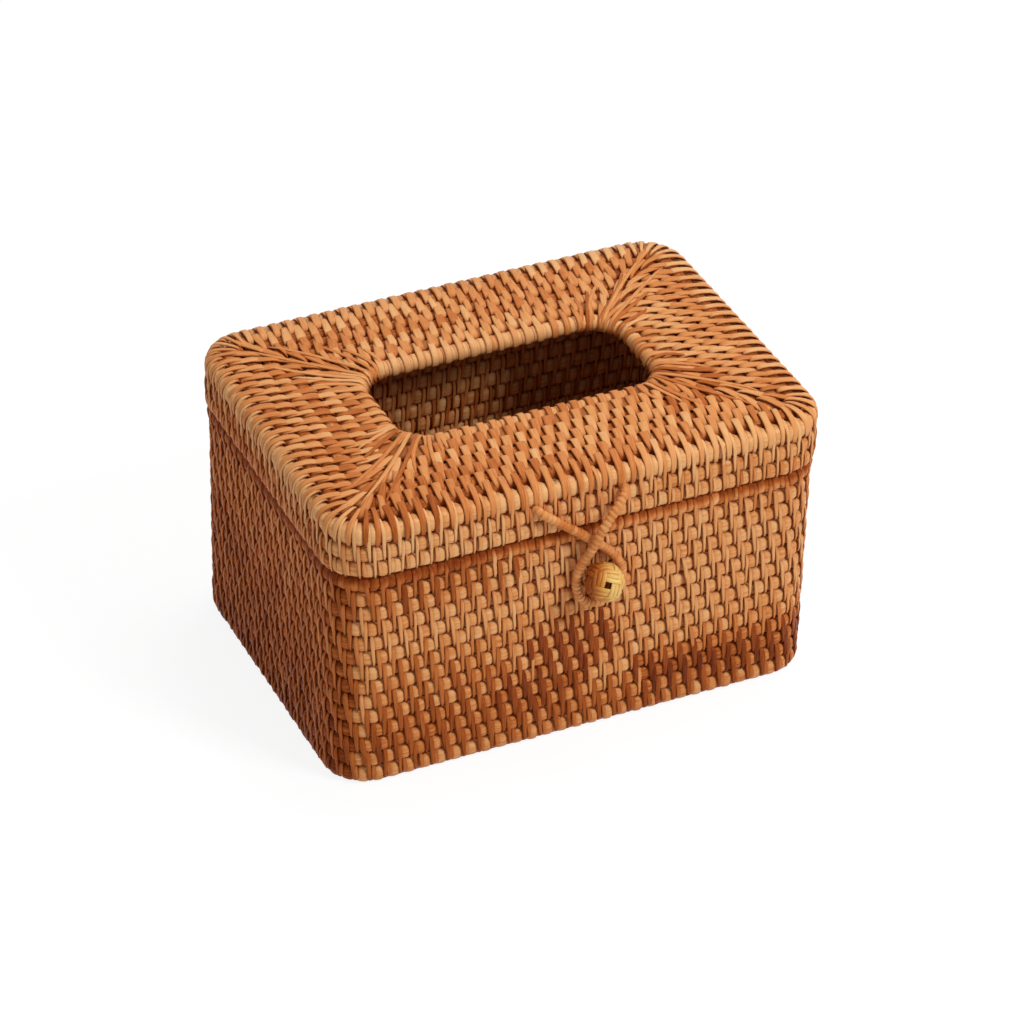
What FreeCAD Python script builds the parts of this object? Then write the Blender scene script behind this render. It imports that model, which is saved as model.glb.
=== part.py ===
"""Tissue box cover of coiled cane: a box, a hinged lid with a slot, and a cord loop over a woven ball.

Millimetres, +Z up, X along the box, the front towards -Y.
The origin is the middle of the face that the box stands on.
"""
import FreeCAD, Part
import math
import os

V = FreeCAD.Vector

# Lid plan, over the canes
LID_LENGTH = 219.0
LID_WIDTH = 155.0
LID_CORNER = 19.5
LID_OVERHANG = 1.5

# Canes of the walls, the base and the lid's skirt
WALL_THICKNESS = 6.6
WALL_COURSES = 12
COURSE_HEIGHT = 7.3
CANE_ROUND = 2.2
FOOT_HEIGHT = 8.4
FOOT_ROUND = 3.6
BASE_THICKNESS = 6.4
BASE_COURSES = 9
BASE_CORE_WIDTH = 7.0
BASE_CORNER_LEAST = 2.6
BASE_ROUND = 1.6

# Round rim on top of the wall, flat where it sits on the last course
RIM_RADIUS = 4.1
RIM_SEAT_DEPTH = 0.4

# Lid
LID_GAP = 0.3
SKIRT_COURSE_HEIGHT = 7.5
TOP_COURSES = 6
TOP_COURSE_WIDTH = 6.4
TOP_THICKNESS = 6.4
TOP_RISE = 2.4
TOP_ROUND = 1.6
BINDING_WIDTH = 6.6
BINDING_ROUND = 2.8
SLOT_CORNER = 14.5

# Lashed hinges at the back
LASHING_SPACING = 124.0
LASHING_LENGTH = 9.0
LASHING_THICKNESS = 1.0
LASHING_PLAY = 0.3
LASHING_END_ROOM = 0.6
LASHING_NOTCH_ROOM = 0.8

# Woven ball and its tail
BALL_RADIUS = 8.4
BALL_X = 2.8
BALL_STANDOFF = 10.6
BALL_COURSES_BELOW = 10
TIE_RADIUS = 2.2
TIE_CLEARANCE = 0.05
TIE_SEAT = 5.0
KNOT_RADIUS = 5.0
KNOT_THICKNESS = 3.4
KNOT_ROUND = 1.5

# Closure cord. Each point is X, distance out from the lid's front, height over the cord's holes.
CORD_DIAMETER = 4.3
CORD_HOLE_CLEARANCE = 0.35
CORD_ARC_SHARE = 0.45
CORD_ROUTE = [
    (14.8, -3.0, 0.0),
    (14.8, 2.3, 0.0),
    (11.2, 5.0, -3.2),
    (6.4, 6.5, -7.9),
    (1.6, 7.6, -14.2),
    (-1.9, 7.2, -21.6),
    (-4.7, 3.2, -30.4),
    (-6.1, 1.6, -39.0),
    (-5.2, 1.4, -46.8),
    (-1.0, 1.4, -52.4),
    (5.8, 1.4, -53.6),
    (12.2, 1.4, -49.4),
    (15.4, 1.5, -41.6),
    (13.0, 1.6, -34.0),
    (6.9, 1.9, -26.7),
    (-2.4, 2.4, -18.5),
    (-11.6, 3.4, -10.4),
    (-20.0, 4.2, -3.4),
    (-24.7, 2.3, 0.0),
    (-24.7, -3.0, 0.0),
]

# Heights
WALL_TOP = FOOT_HEIGHT + WALL_COURSES * COURSE_HEIGHT
RIM_CENTRE_Z = WALL_TOP + RIM_RADIUS - RIM_SEAT_DEPTH
LID_BOTTOM = RIM_CENTRE_Z + RIM_RADIUS + LID_GAP
SKIRT_MIDDLE_Z = LID_BOTTOM + SKIRT_COURSE_HEIGHT
LID_EDGE_Z = SKIRT_MIDDLE_Z + SKIRT_COURSE_HEIGHT
LID_TOP = LID_EDGE_Z + SKIRT_COURSE_HEIGHT + TOP_RISE
TOP_Z = LID_TOP - TOP_THICKNESS

# Plan sizes that follow
BODY_LENGTH = LID_LENGTH - 2 * LID_OVERHANG
BODY_WIDTH = LID_WIDTH - 2 * LID_OVERHANG
BODY_CORNER = LID_CORNER - LID_OVERHANG
INNER_WIDTH = BODY_WIDTH - 2 * WALL_THICKNESS
BASE_PITCH = (INNER_WIDTH - BASE_CORE_WIDTH) / 2 / BASE_COURSES
SLOT_INSET = WALL_THICKNESS + TOP_COURSES * TOP_COURSE_WIDTH + BINDING_WIDTH
LID_BACK = LID_WIDTH / 2
LID_FRONT = -LID_BACK
WALL_FRONT = -BODY_WIDTH / 2
RIM_INSET = WALL_THICKNESS / 2
HINGE_Y = BODY_WIDTH / 2 - RIM_INSET
LASHING_RADIUS = RIM_RADIUS + LASHING_PLAY + LASHING_THICKNESS
BALL_Z = FOOT_HEIGHT + BALL_COURSES_BELOW * COURSE_HEIGHT
CORD_HOLE_Z = LID_EDGE_Z

os.makedirs("parts", exist_ok=True)


def save(name, shape):
    """Write one piece and print its volume."""
    if not shape.isValid():
        raise ValueError(name + " is not a valid shape")
    shape.exportStep("parts/" + name + ".step")
    print(name, "solids", len(shape.Solids), "volume", round(shape.Volume, 1))


def rounded_rectangle(length, width, radius, z):
    """Closed wire at height z, centred on the Z axis."""
    half_x = length / 2
    half_y = width / 2
    reach = radius * (1 - math.sqrt(0.5))
    edges = []
    for sign_x, sign_y, first_on_x in ((1, -1, False), (1, 1, True), (-1, 1, False), (-1, -1, True)):
        on_y_side = V(sign_x * (half_x - radius), sign_y * half_y, z)
        on_x_side = V(sign_x * half_x, sign_y * (half_y - radius), z)
        middle = V(sign_x * (half_x - reach), sign_y * (half_y - reach), z)
        ends = (on_x_side, on_y_side) if first_on_x else (on_y_side, on_x_side)
        if edges:
            edges.append(Part.LineSegment(edges[-1].Vertexes[-1].Point, ends[0]).toShape())
        edges.append(Part.Arc(ends[0], middle, ends[1]).toShape())
    edges.append(Part.LineSegment(edges[-1].Vertexes[-1].Point, edges[0].Vertexes[0].Point).toShape())
    return Part.Wire(edges)


def plate(plan, z, height):
    """Solid slab on a plan of (length, width, corner radius)."""
    return Part.Face(rounded_rectangle(plan[0], plan[1], plan[2], z)).extrude(V(0, 0, height))


def ring(outer, inner, z, height):
    """Course of cane between two plans, flat above and below."""
    return plate(outer, z, height).cut(plate(inner, z, height))


def level_edges(shape, z):
    """Edges that lie flat at height z."""
    near = 0.001
    return [e for e in shape.Edges if abs(e.BoundBox.ZMin - z) < near and abs(e.BoundBox.ZMax - z) < near]


def plan_edges(shape, z, plan):
    """Level edges at height z that lie on the line of a plan."""
    near = 0.001
    picked = []
    for edge in level_edges(shape, z):
        box = edge.BoundBox
        reach_x = max(abs(box.XMin), abs(box.XMax))
        reach_y = max(abs(box.YMin), abs(box.YMax))
        if abs(reach_x - plan[0] / 2) < near or abs(reach_y - plan[1] / 2) < near:
            picked.append(edge)
    return picked


def rounded_course(outer, inner, z, height, radius):
    """Course with all its long edges rounded, so that it reads as a cane."""
    course = ring(outer, inner, z, height)
    return course.makeFillet(radius, level_edges(course, z) + level_edges(course, z + height))


def body_plan(inset):
    """Plan of the walls, set in from their outer face."""
    return (BODY_LENGTH - 2 * inset, BODY_WIDTH - 2 * inset, BODY_CORNER - inset)


def skirt_plan(inset):
    """Plan of the lid's skirt, set in from its outer face."""
    return (LID_LENGTH - 2 * inset, LID_WIDTH - 2 * inset, LID_CORNER - inset)


def top_plan(inset):
    """Plan on the lid's top. The corner goes evenly from the skirt's inner face to the slot."""
    share = (inset - WALL_THICKNESS) / (SLOT_INSET - WALL_THICKNESS)
    first_corner = LID_CORNER - WALL_THICKNESS
    corner = first_corner + share * (SLOT_CORNER - first_corner)
    return (LID_LENGTH - 2 * inset, LID_WIDTH - 2 * inset, corner)


def base_plan(index):
    """Plan of the base's course of that number, counted inwards from 0."""
    inset = WALL_THICKNESS + index * BASE_PITCH
    corner = max(BODY_CORNER - inset, BASE_CORNER_LEAST)
    return (BODY_LENGTH - 2 * inset, BODY_WIDTH - 2 * inset, corner)


def cross_drill(radius, x, z):
    """Drill along Y through the front of the box or the lid."""
    return Part.makeCylinder(radius, LID_BACK, V(x, LID_FRONT - WALL_THICKNESS, z), V(0, 1, 0))


def lashing_places():
    """X of the middle of each hinge lashing."""
    return {"left": -LASHING_SPACING / 2, "right": LASHING_SPACING / 2}


def lashing_slot(z, height, end_room):
    """Slots across the back for both lashings."""
    length = LASHING_LENGTH + 2 * end_room
    slots = []
    for x in lashing_places().values():
        corner = V(x - length / 2, HINGE_Y - 2 * LASHING_RADIUS, z)
        slots.append(Part.makeBox(length, 4 * LASHING_RADIUS, height, corner))
    return Part.makeCompound(slots)


def make_base():
    """Straight core cane and the courses round it."""
    core_plan = base_plan(BASE_COURSES)
    core = plate(core_plan, 0, BASE_THICKNESS)
    save("base_core", core.makeFillet(BASE_ROUND, level_edges(core, BASE_THICKNESS)))
    for index in range(BASE_COURSES):
        course = ring(base_plan(index), base_plan(index + 1), 0, BASE_THICKNESS)
        course = course.makeFillet(BASE_ROUND, level_edges(course, BASE_THICKNESS))
        save("base_course_%d" % (index + 1), course)


def make_walls():
    """Foot course, stacked wall courses with their drillings, and the lashing notches in the last one."""
    outer = body_plan(0)
    inner = body_plan(WALL_THICKNESS)
    foot = ring(outer, inner, 0, FOOT_HEIGHT)
    save("foot_course", foot.makeFillet(FOOT_ROUND, plan_edges(foot, 0, outer)))
    tie_hole = cross_drill(TIE_RADIUS + TIE_CLEARANCE, BALL_X, BALL_Z)
    notch_depth = LASHING_RADIUS + LASHING_NOTCH_ROOM - (RIM_CENTRE_Z - WALL_TOP)
    for number in range(1, WALL_COURSES + 1):
        z = FOOT_HEIGHT + (number - 1) * COURSE_HEIGHT
        course = rounded_course(outer, inner, z, COURSE_HEIGHT, CANE_ROUND)
        if number in (BALL_COURSES_BELOW, BALL_COURSES_BELOW + 1):
            course = course.cut(tie_hole)
        if number == WALL_COURSES:
            course = course.cut(lashing_slot(WALL_TOP - notch_depth, 2 * notch_depth, LASHING_END_ROOM))
        save("wall_course_%02d" % number, course)


def rim_section(x, y, along):
    """Round section with a flat seat, at a point of the rim's line, square to the direction along."""
    across = V(0, 0, 1).cross(along)
    centre = V(x, y, RIM_CENTRE_Z)
    seat_drop = RIM_RADIUS - RIM_SEAT_DEPTH
    half_seat = math.sqrt(RIM_RADIUS ** 2 - seat_drop ** 2)
    left = centre - across * half_seat - V(0, 0, seat_drop)
    right = centre + across * half_seat - V(0, 0, seat_drop)
    top = centre + V(0, 0, RIM_RADIUS)
    arc = Part.Arc(right, top, left).toShape()
    seat = Part.LineSegment(left, right).toShape()
    return Part.Face(Part.Wire([arc, seat]))


def make_rim():
    """Four straight runs and four quarter turns, joined."""
    length, width, corner = body_plan(RIM_INSET)
    half_x = length / 2
    half_y = width / 2
    straight_x = length - 2 * corner
    straight_y = width - 2 * corner
    pieces = []
    for sign in (1, -1):
        on_long_side = rim_section(-straight_x / 2, sign * half_y, V(1, 0, 0))
        on_short_side = rim_section(sign * half_x, -straight_y / 2, V(0, 1, 0))
        pieces.append(on_long_side.extrude(V(straight_x, 0, 0)))
        pieces.append(on_short_side.extrude(V(0, straight_y, 0)))
    for sign_x, sign_y in ((1, 1), (-1, 1), (-1, -1), (1, -1)):
        centre = V(sign_x * straight_x / 2, sign_y * straight_y / 2, 0)
        section = rim_section(sign_x * half_x, centre.y, V(0, 1, 0))
        pieces.append(section.revolve(centre, V(0, 0, 1), sign_x * sign_y * 90))
    save("wall_rim", pieces[0].multiFuse(pieces[1:]).removeSplitter())


def make_skirt():
    """Three courses of the lid's side, with the cord's holes and the lashing slots."""
    outer = skirt_plan(0)
    inner = skirt_plan(WALL_THICKNESS)
    hole_radius = CORD_DIAMETER / 2 + CORD_HOLE_CLEARANCE
    holes = [cross_drill(hole_radius, CORD_ROUTE[end][0], CORD_HOLE_Z) for end in (0, -1)]
    lower = rounded_course(outer, inner, LID_BOTTOM, SKIRT_COURSE_HEIGHT, CANE_ROUND)
    middle = rounded_course(outer, inner, SKIRT_MIDDLE_Z, SKIRT_COURSE_HEIGHT, CANE_ROUND)
    edge = rounded_course(outer, inner, LID_EDGE_Z, SKIRT_COURSE_HEIGHT, CANE_ROUND)
    slots = lashing_slot(SKIRT_MIDDLE_Z - LASHING_THICKNESS, 2 * LASHING_THICKNESS, 0)
    save("lid_skirt_lower", lower)
    save("lid_skirt_middle", middle.cut(slots).cut(Part.makeCompound(holes)))
    save("lid_edge_course", edge.cut(Part.makeCompound(holes)))


def make_top():
    """Concentric courses of the lid's top, and the binding round the slot."""
    for number in range(1, TOP_COURSES + 1):
        outer_inset = WALL_THICKNESS + (number - 1) * TOP_COURSE_WIDTH
        outer = top_plan(outer_inset)
        inner = top_plan(outer_inset + TOP_COURSE_WIDTH)
        save("lid_top_course_%d" % number, rounded_course(outer, inner, TOP_Z, TOP_THICKNESS, TOP_ROUND))
    outer = top_plan(SLOT_INSET - BINDING_WIDTH)
    inner = top_plan(SLOT_INSET)
    binding = ring(outer, inner, TOP_Z, TOP_THICKNESS)
    slot_side = plan_edges(binding, TOP_Z, inner) + plan_edges(binding, LID_TOP, inner)
    save("slot_binding", binding.makeFillet(BINDING_ROUND, slot_side))


def make_lashings():
    """Band round the rim below and the lowest skirt course above, one at each end of the hinge line."""
    skirt_inner = LID_BACK - WALL_THICKNESS - HINGE_Y
    skirt_outer = LID_BACK - HINGE_Y
    skirt_top = SKIRT_MIDDLE_Z - RIM_CENTRE_Z
    band_top = skirt_top + LASHING_THICKNESS
    inner_corner = V(0, skirt_inner - LASHING_THICKNESS, band_top)
    reach = inner_corner.Length
    turn = math.atan2(inner_corner.z, inner_corner.y) + math.acos(LASHING_RADIUS / reach)
    tangent = V(0, LASHING_RADIUS * math.cos(turn), LASHING_RADIUS * math.sin(turn))
    outer_low = V(0, LASHING_RADIUS, 0)
    outer_corner = V(0, LASHING_RADIUS, band_top)
    outline = Part.Wire([
        Part.Arc(tangent, V(0, 0, -LASHING_RADIUS), outer_low).toShape(),
        Part.LineSegment(outer_low, outer_corner).toShape(),
        Part.LineSegment(outer_corner, inner_corner).toShape(),
        Part.LineSegment(inner_corner, tangent).toShape(),
    ])
    for side, x in lashing_places().items():
        start = V(x - LASHING_LENGTH / 2, HINGE_Y, RIM_CENTRE_Z)
        band = Part.Face(outline).extrude(V(LASHING_LENGTH, 0, 0))
        band.translate(start)
        rim_space = Part.makeCylinder(RIM_RADIUS + LASHING_PLAY, LASHING_LENGTH, start, V(1, 0, 0))
        skirt_corner = start + V(0, skirt_inner, 0)
        skirt_space = Part.makeBox(LASHING_LENGTH, skirt_outer - skirt_inner, skirt_top, skirt_corner)
        save("hinge_lashing_" + side, band.cut(rim_space).cut(skirt_space))


def make_button():
    """Tail with its knot inside the wall, and the ball on its outer end."""
    knot_y = WALL_FRONT + WALL_THICKNESS
    ball_centre = V(BALL_X, WALL_FRONT - BALL_STANDOFF, BALL_Z)
    tie_end = ball_centre.y + BALL_RADIUS - TIE_SEAT
    knot = Part.makeCylinder(KNOT_RADIUS, KNOT_THICKNESS, V(BALL_X, knot_y, BALL_Z), V(0, 1, 0))
    inside = [e for e in knot.Edges if e.BoundBox.YMin > knot_y + KNOT_THICKNESS / 2]
    knot = knot.makeFillet(KNOT_ROUND, inside)
    tail = Part.makeCylinder(TIE_RADIUS, knot_y - tie_end, V(BALL_X, tie_end, BALL_Z), V(0, 1, 0))
    save("button_tie", tail.fuse(knot).removeSplitter())
    ball = Part.makeSphere(BALL_RADIUS, ball_centre, V(0, 1, 0))
    socket_start = V(BALL_X, tie_end, BALL_Z)
    socket = Part.makeCylinder(TIE_RADIUS + TIE_CLEARANCE, 2 * BALL_RADIUS, socket_start, V(0, 1, 0))
    save("button_ball", ball.cut(socket))


def cord_path(points):
    """Straight runs joined by the largest tangent arcs that they leave room for, with the radii printed."""
    edges = []
    radii = []
    last = points[0]
    for before, corner, after in zip(points, points[1:], points[2:]):
        run_in = corner - before
        run_out = after - corner
        cut_back = CORD_ARC_SHARE * min(run_in.Length, run_out.Length)
        turn = run_in.getAngle(run_out)
        radius = cut_back / math.tan(turn / 2)
        radii.append(round(radius, 1))
        way_in = V(run_in).normalize()
        way_out = V(run_out).normalize()
        start = corner - way_in * cut_back
        end = corner + way_out * cut_back
        to_centre = (way_out - way_in).normalize()
        middle = corner + to_centre * (radius / math.cos(turn / 2) - radius)
        edges.append(Part.LineSegment(last, start).toShape())
        edges.append(Part.Arc(start, middle, end).toShape())
        last = end
    edges.append(Part.LineSegment(last, points[-1]).toShape())
    print("closure_loop radii", radii)
    return Part.Wire(edges)


def make_cord():
    """Tube along the cord's route, with its volume set against its section times its length."""
    points = [V(x, LID_FRONT - out, CORD_HOLE_Z + height) for x, out, height in CORD_ROUTE]
    path = cord_path(points)
    radius = CORD_DIAMETER / 2
    section = Part.Wire([Part.makeCircle(radius, points[0], points[1] - points[0])])
    sweep = Part.BRepOffsetAPI.MakePipeShell(path)
    sweep.add(section)
    sweep.build()
    sweep.makeSolid()
    tube = sweep.shape()
    print("closure_loop length", round(path.Length, 1))
    print("closure_loop section times length", round(math.pi * radius ** 2 * path.Length, 1))
    save("closure_loop", tube)


make_base()
make_walls()
make_rim()
make_skirt()
make_top()
make_lashings()
make_button()
make_cord()
print("overall height", round(LID_TOP, 2), "slot", LID_LENGTH - 2 * SLOT_INSET, "by", LID_WIDTH - 2 * SLOT_INSET)
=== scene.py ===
# %% [markdown]
# # Tissue box cover of coiled cane
# The real box is coiled basketry: canes are laid one on another and each is stitched to the one below it
# with flat strips of split cane, called splints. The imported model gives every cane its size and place, and
# this lesson dresses it: canes pinched by their stitches, the stitches themselves, the wraps on the edges,
# the ball and the cord.

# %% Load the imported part
import math
import bmesh
import bpy
import numpy as np
from mathutils import Matrix, Vector


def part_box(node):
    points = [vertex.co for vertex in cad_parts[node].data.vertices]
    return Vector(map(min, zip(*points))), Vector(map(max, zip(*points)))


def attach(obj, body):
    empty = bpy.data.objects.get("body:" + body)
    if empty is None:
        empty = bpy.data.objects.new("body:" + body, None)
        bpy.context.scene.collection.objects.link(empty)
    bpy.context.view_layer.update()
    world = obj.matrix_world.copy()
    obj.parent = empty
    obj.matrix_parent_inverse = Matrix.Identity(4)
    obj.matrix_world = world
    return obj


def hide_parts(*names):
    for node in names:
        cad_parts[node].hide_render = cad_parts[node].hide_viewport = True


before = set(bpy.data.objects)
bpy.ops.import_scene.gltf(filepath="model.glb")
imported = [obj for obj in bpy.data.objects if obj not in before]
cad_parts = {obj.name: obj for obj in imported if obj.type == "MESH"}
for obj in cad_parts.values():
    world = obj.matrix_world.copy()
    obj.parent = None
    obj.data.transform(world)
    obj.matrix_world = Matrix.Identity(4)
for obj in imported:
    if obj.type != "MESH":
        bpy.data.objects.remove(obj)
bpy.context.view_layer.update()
MM = 0.001

# %% [markdown]
# ## Camera
# The view looks down at the front left corner from some way off, through a long lens, so the box's long
# edges stay nearly parallel. The camera is placed by an angle round the box, an angle above the floor and a
# distance, and turned a little about its own line of sight. The lens is given as a focal length in pixels
# of the square picture.

# %% Camera
PICTURE_PX = 1024
FOCAL_PX = 4379.0
SENSOR_MM = 36.0
CAMERA_AZIMUTH = math.radians(-25.85)
CAMERA_ELEVATION = math.radians(35.15)
CAMERA_ROLL = math.radians(1.56)
CAMERA_DISTANCE = 1.836
CAMERA_AIM = Vector((0, 0, 65.36 * MM))
AIM_PIXEL = (506.4, 502.3)


def place_camera():
    """Put the camera so that the aim point lands on its pixel."""
    level = math.cos(CAMERA_ELEVATION)
    back = Vector((math.sin(CAMERA_AZIMUTH) * level, -math.cos(CAMERA_AZIMUTH) * level,
                   math.sin(CAMERA_ELEVATION)))
    right = (-back).cross(Vector((0, 0, 1))).normalized()
    up = right.cross(-back)
    c = math.cos(CAMERA_ROLL)
    s = math.sin(CAMERA_ROLL)
    right, up = c * right + s * up, c * up - s * right
    per_pixel = CAMERA_DISTANCE / FOCAL_PX
    aside = (AIM_PIXEL[0] - PICTURE_PX / 2) * per_pixel
    above = (PICTURE_PX / 2 - AIM_PIXEL[1]) * per_pixel
    place = CAMERA_AIM + back * CAMERA_DISTANCE - right * aside - up * above
    bpy.ops.object.camera_add()
    camera = bpy.context.object
    turn = Matrix((right, up, back)).transposed().to_4x4()
    camera.matrix_world = Matrix.Translation(place) @ turn
    camera.data.sensor_width = SENSOR_MM
    camera.data.lens = FOCAL_PX * SENSOR_MM / PICTURE_PX
    bpy.context.scene.camera = camera
    return camera


view_camera = place_camera()
print("lens", round(view_camera.data.lens, 1), "camera at", [round(v, 3) for v in view_camera.location])

# %% [markdown]
# ## Helpers for working by hand
# Operators act on whatever is selected, so each step starts with nothing selected and then picks its own
# piece, and in edit mode its own points, by where they are. Steps that come up often are given a name here:
# entering and leaving edit mode, repeating a piece along a straight bench, and bending the bench round a
# line.

# %% Helpers


def take(piece):
    """Select one object alone and make it the active one."""
    if bpy.context.object and bpy.context.object.mode != "OBJECT":
        bpy.ops.object.mode_set(mode="OBJECT")
    bpy.ops.object.select_all(action="DESELECT")
    piece.select_set(True)
    bpy.context.view_layer.objects.active = piece


def pick(test):
    """In edit mode, select the points whose place passes a test."""
    bpy.ops.mesh.select_mode(type="VERT")
    bpy.ops.mesh.select_all(action="DESELECT")
    mesh = bmesh.from_edit_mesh(bpy.context.object.data)
    for point in mesh.verts:
        point.select = bool(test(point.co))
    mesh.select_flush(True)
    bmesh.update_edit_mesh(bpy.context.object.data)


def apply_modifier(piece, kind, **settings):
    """Add a modifier, set it up and apply it."""
    take(piece)
    modifier = piece.modifiers.new(kind.lower(), kind)
    for name, value in settings.items():
        setattr(modifier, name, value)
    bpy.ops.object.modifier_apply(modifier=modifier.name)


def edit_all():
    """Enter edit mode with everything selected."""
    bpy.ops.object.mode_set(mode="EDIT")
    bpy.ops.mesh.select_all(action="SELECT")


def close_edit():
    """Turn all the faces outwards and leave edit mode."""
    bpy.ops.mesh.select_all(action="SELECT")
    bpy.ops.mesh.normals_make_consistent(inside=False)
    bpy.ops.object.mode_set(mode="OBJECT")


def open_ends():
    """In edit mode, delete the two end faces, which look along the bench."""
    bpy.ops.mesh.select_mode(type="FACE")
    bpy.ops.mesh.select_all(action="DESELECT")
    mesh = bmesh.from_edit_mesh(bpy.context.object.data)
    for face in mesh.faces:
        face.select = abs(face.normal.x) > 0.99
    bmesh.update_edit_mesh(bpy.context.object.data)
    bpy.ops.mesh.delete(type="FACE")


WELD = {"use_merge_vertices": True, "merge_threshold": 0.02 * MM}


def repeat(piece, count, step, **welding):
    """Repeat a piece along the bench."""
    apply_modifier(piece, "ARRAY", count=count, use_relative_offset=False, use_constant_offset=True,
                   constant_offset_displace=(step, 0, 0), **welding)


def bend_round(piece, line):
    """Bend the bench round a line."""
    apply_modifier(piece, "CURVE", object=line, deform_axis="POS_X")


templates = []


def keep_template(template):
    """Note a bench template, which is removed at the end, and leave its mesh smooth."""
    take(template)
    bpy.ops.object.shade_smooth()
    templates.append(template)
    return template


def copy_of(template, name):
    """A copy with a mesh of its own."""
    piece = template.copy()
    piece.data = template.data.copy()
    piece.name = name
    piece.data.name = name
    bpy.context.scene.collection.objects.link(piece)
    return piece


def points_of(piece):
    """The places of a mesh's points as an array."""
    places = np.empty(len(piece.data.vertices) * 3)
    piece.data.vertices.foreach_get("co", places)
    return places.reshape(-1, 3)


def set_points(piece, places):
    """Put a mesh's points where an array says."""
    piece.data.vertices.foreach_set("co", places.ravel())
    piece.data.update()


def set_values(piece, name, values):
    """Give every point one number of a named attribute."""
    layer = piece.data.attributes.get(name) or piece.data.attributes.new(name, "FLOAT", "POINT")
    layer.data.foreach_set("value", np.asarray(values, np.float32))


def set_vectors(piece, name, values):
    """Give every point three numbers of a named attribute."""
    layer = piece.data.attributes.get(name) or piece.data.attributes.new(name, "FLOAT_VECTOR", "POINT")
    layer.data.foreach_set("vector", np.asarray(values, np.float32).ravel())


def vectors_of(piece, name):
    """Read three numbers of each point back as an array."""
    values = np.empty(len(piece.data.vertices) * 3, np.float32)
    piece.data.attributes[name].data.foreach_get("vector", values)
    return values.reshape(-1, 3)


print("helpers ready")

# %% [markdown]
# ## Finishes
# Cane is pale straw where it is fresh, tan to orange-brown where the stain took, and dark red-brown in the
# grooves, where the stain gathered and where shade falls: that dark is partly stain and partly painted shade.
# One node tree serves all of it: each point carries a tone, from pale to dark, a depth, for the stain and the
# painted shade in the grooves, and a place along and across its strip, so that the fibres run along the strip
# whichever way it goes.

# %% Finishes
STRAW_RAMP = [
    (0.00, (0.890, 0.480, 0.200)),
    (0.25, (0.790, 0.325, 0.103)),
    (0.45, (0.640, 0.200, 0.048)),
    (0.65, (0.440, 0.106, 0.014)),
    (0.85, (0.245, 0.042, 0.003)),
    (1.00, (0.140, 0.019, 0.001)),
]
# Dark red-brown for the grooves: stain gathered there, and painted shade there too.
GROOVE_STAIN_AND_SHADE = (0.340, 0.070, 0.013, 1.0)
FIBRE_RELIEF = 0.22 * MM


def wire(tree, source, target):
    """Join an output socket to an input socket."""
    tree.links.new(source, target)


def maths(tree, operation, first, second):
    """A Math node on two inputs, each a socket or a number."""
    node = tree.nodes.new("ShaderNodeMath")
    node.operation = operation
    for slot_number, value in enumerate((first, second)):
        if isinstance(value, (int, float)):
            node.inputs[slot_number].default_value = value
        else:
            wire(tree, value, node.inputs[slot_number])
    return node.outputs[0]


def read_points(tree, name):
    """A node that reads a named attribute of the points."""
    node = tree.nodes.new("ShaderNodeAttribute")
    node.attribute_name = name
    return node


def cane_finish(name, ramp_stops, streak, fibre, rough, shine):
    """Stained cane with fibres along each strip."""
    material = bpy.data.materials.new(name)
    material.use_nodes = True
    tree = material.node_tree
    shader = tree.nodes["Principled BSDF"]
    place = read_points(tree, "grain")
    stretch = tree.nodes.new("ShaderNodeVectorMath")
    stretch.operation = "MULTIPLY"
    stretch.inputs[1].default_value = fibre
    wire(tree, place.outputs["Vector"], stretch.inputs[0])
    fibres = tree.nodes.new("ShaderNodeTexNoise")
    fibres.inputs["Scale"].default_value = 1.0
    fibres.inputs["Detail"].default_value = 3.0
    fibres.inputs["Roughness"].default_value = 0.6
    wire(tree, stretch.outputs[0], fibres.inputs["Vector"])
    tone = read_points(tree, "tone")
    swing = maths(tree, "MULTIPLY", maths(tree, "SUBTRACT", fibres.outputs["Fac"], 0.5), streak)
    ramp = tree.nodes.new("ShaderNodeValToRGB")
    while len(ramp.color_ramp.elements) < len(ramp_stops):
        ramp.color_ramp.elements.new(0.5)
    for element, (position, colour) in zip(ramp.color_ramp.elements, ramp_stops):
        element.position = position
        element.color = (*colour, 1.0)
    wire(tree, maths(tree, "ADD", tone.outputs["Fac"], swing), ramp.inputs["Fac"])
    # The depth mixes in the groove colour, which is partly stain and partly painted shade.
    depth = read_points(tree, "stain_and_shade")
    stain = tree.nodes.new("ShaderNodeMix")
    stain.data_type = "RGBA"
    stain.inputs["B"].default_value = GROOVE_STAIN_AND_SHADE
    wire(tree, depth.outputs["Fac"], stain.inputs["Factor"])
    wire(tree, ramp.outputs["Color"], stain.inputs["A"])
    wire(tree, stain.outputs["Result"], shader.inputs["Base Color"])
    relief = tree.nodes.new("ShaderNodeBump")
    relief.inputs["Strength"].default_value = 0.35
    relief.inputs["Distance"].default_value = FIBRE_RELIEF
    wire(tree, fibres.outputs["Fac"], relief.inputs["Height"])
    wire(tree, relief.outputs["Normal"], shader.inputs["Normal"])
    gloss = maths(tree, "ADD", maths(tree, "MULTIPLY", fibres.outputs["Fac"], 0.2), rough - 0.1)
    wire(tree, gloss, shader.inputs["Roughness"])
    shader.inputs["Specular IOR Level"].default_value = shine
    return material


splint_finish = cane_finish("stained_splint", STRAW_RAMP, 0.60, (3.0, 0.12, 1.0), 0.42, 0.10)
cane_core_finish = cane_finish("bare_cane", STRAW_RAMP, 1.00, (0.10, 1.3, 1.0), 0.46, 0.10)
print("finishes", splint_finish.name, cane_core_finish.name)

# %% [markdown]
# ## Cord
# The loop is a cord wound with narrow splint. Both its ends go in between two canes of the lid's side; it
# crosses itself once and drops over the ball. Its line is a smooth curve that follows the route, and the
# ridges of the winding are laid along that same curve further down, once a turn of winding has been drawn.

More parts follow.
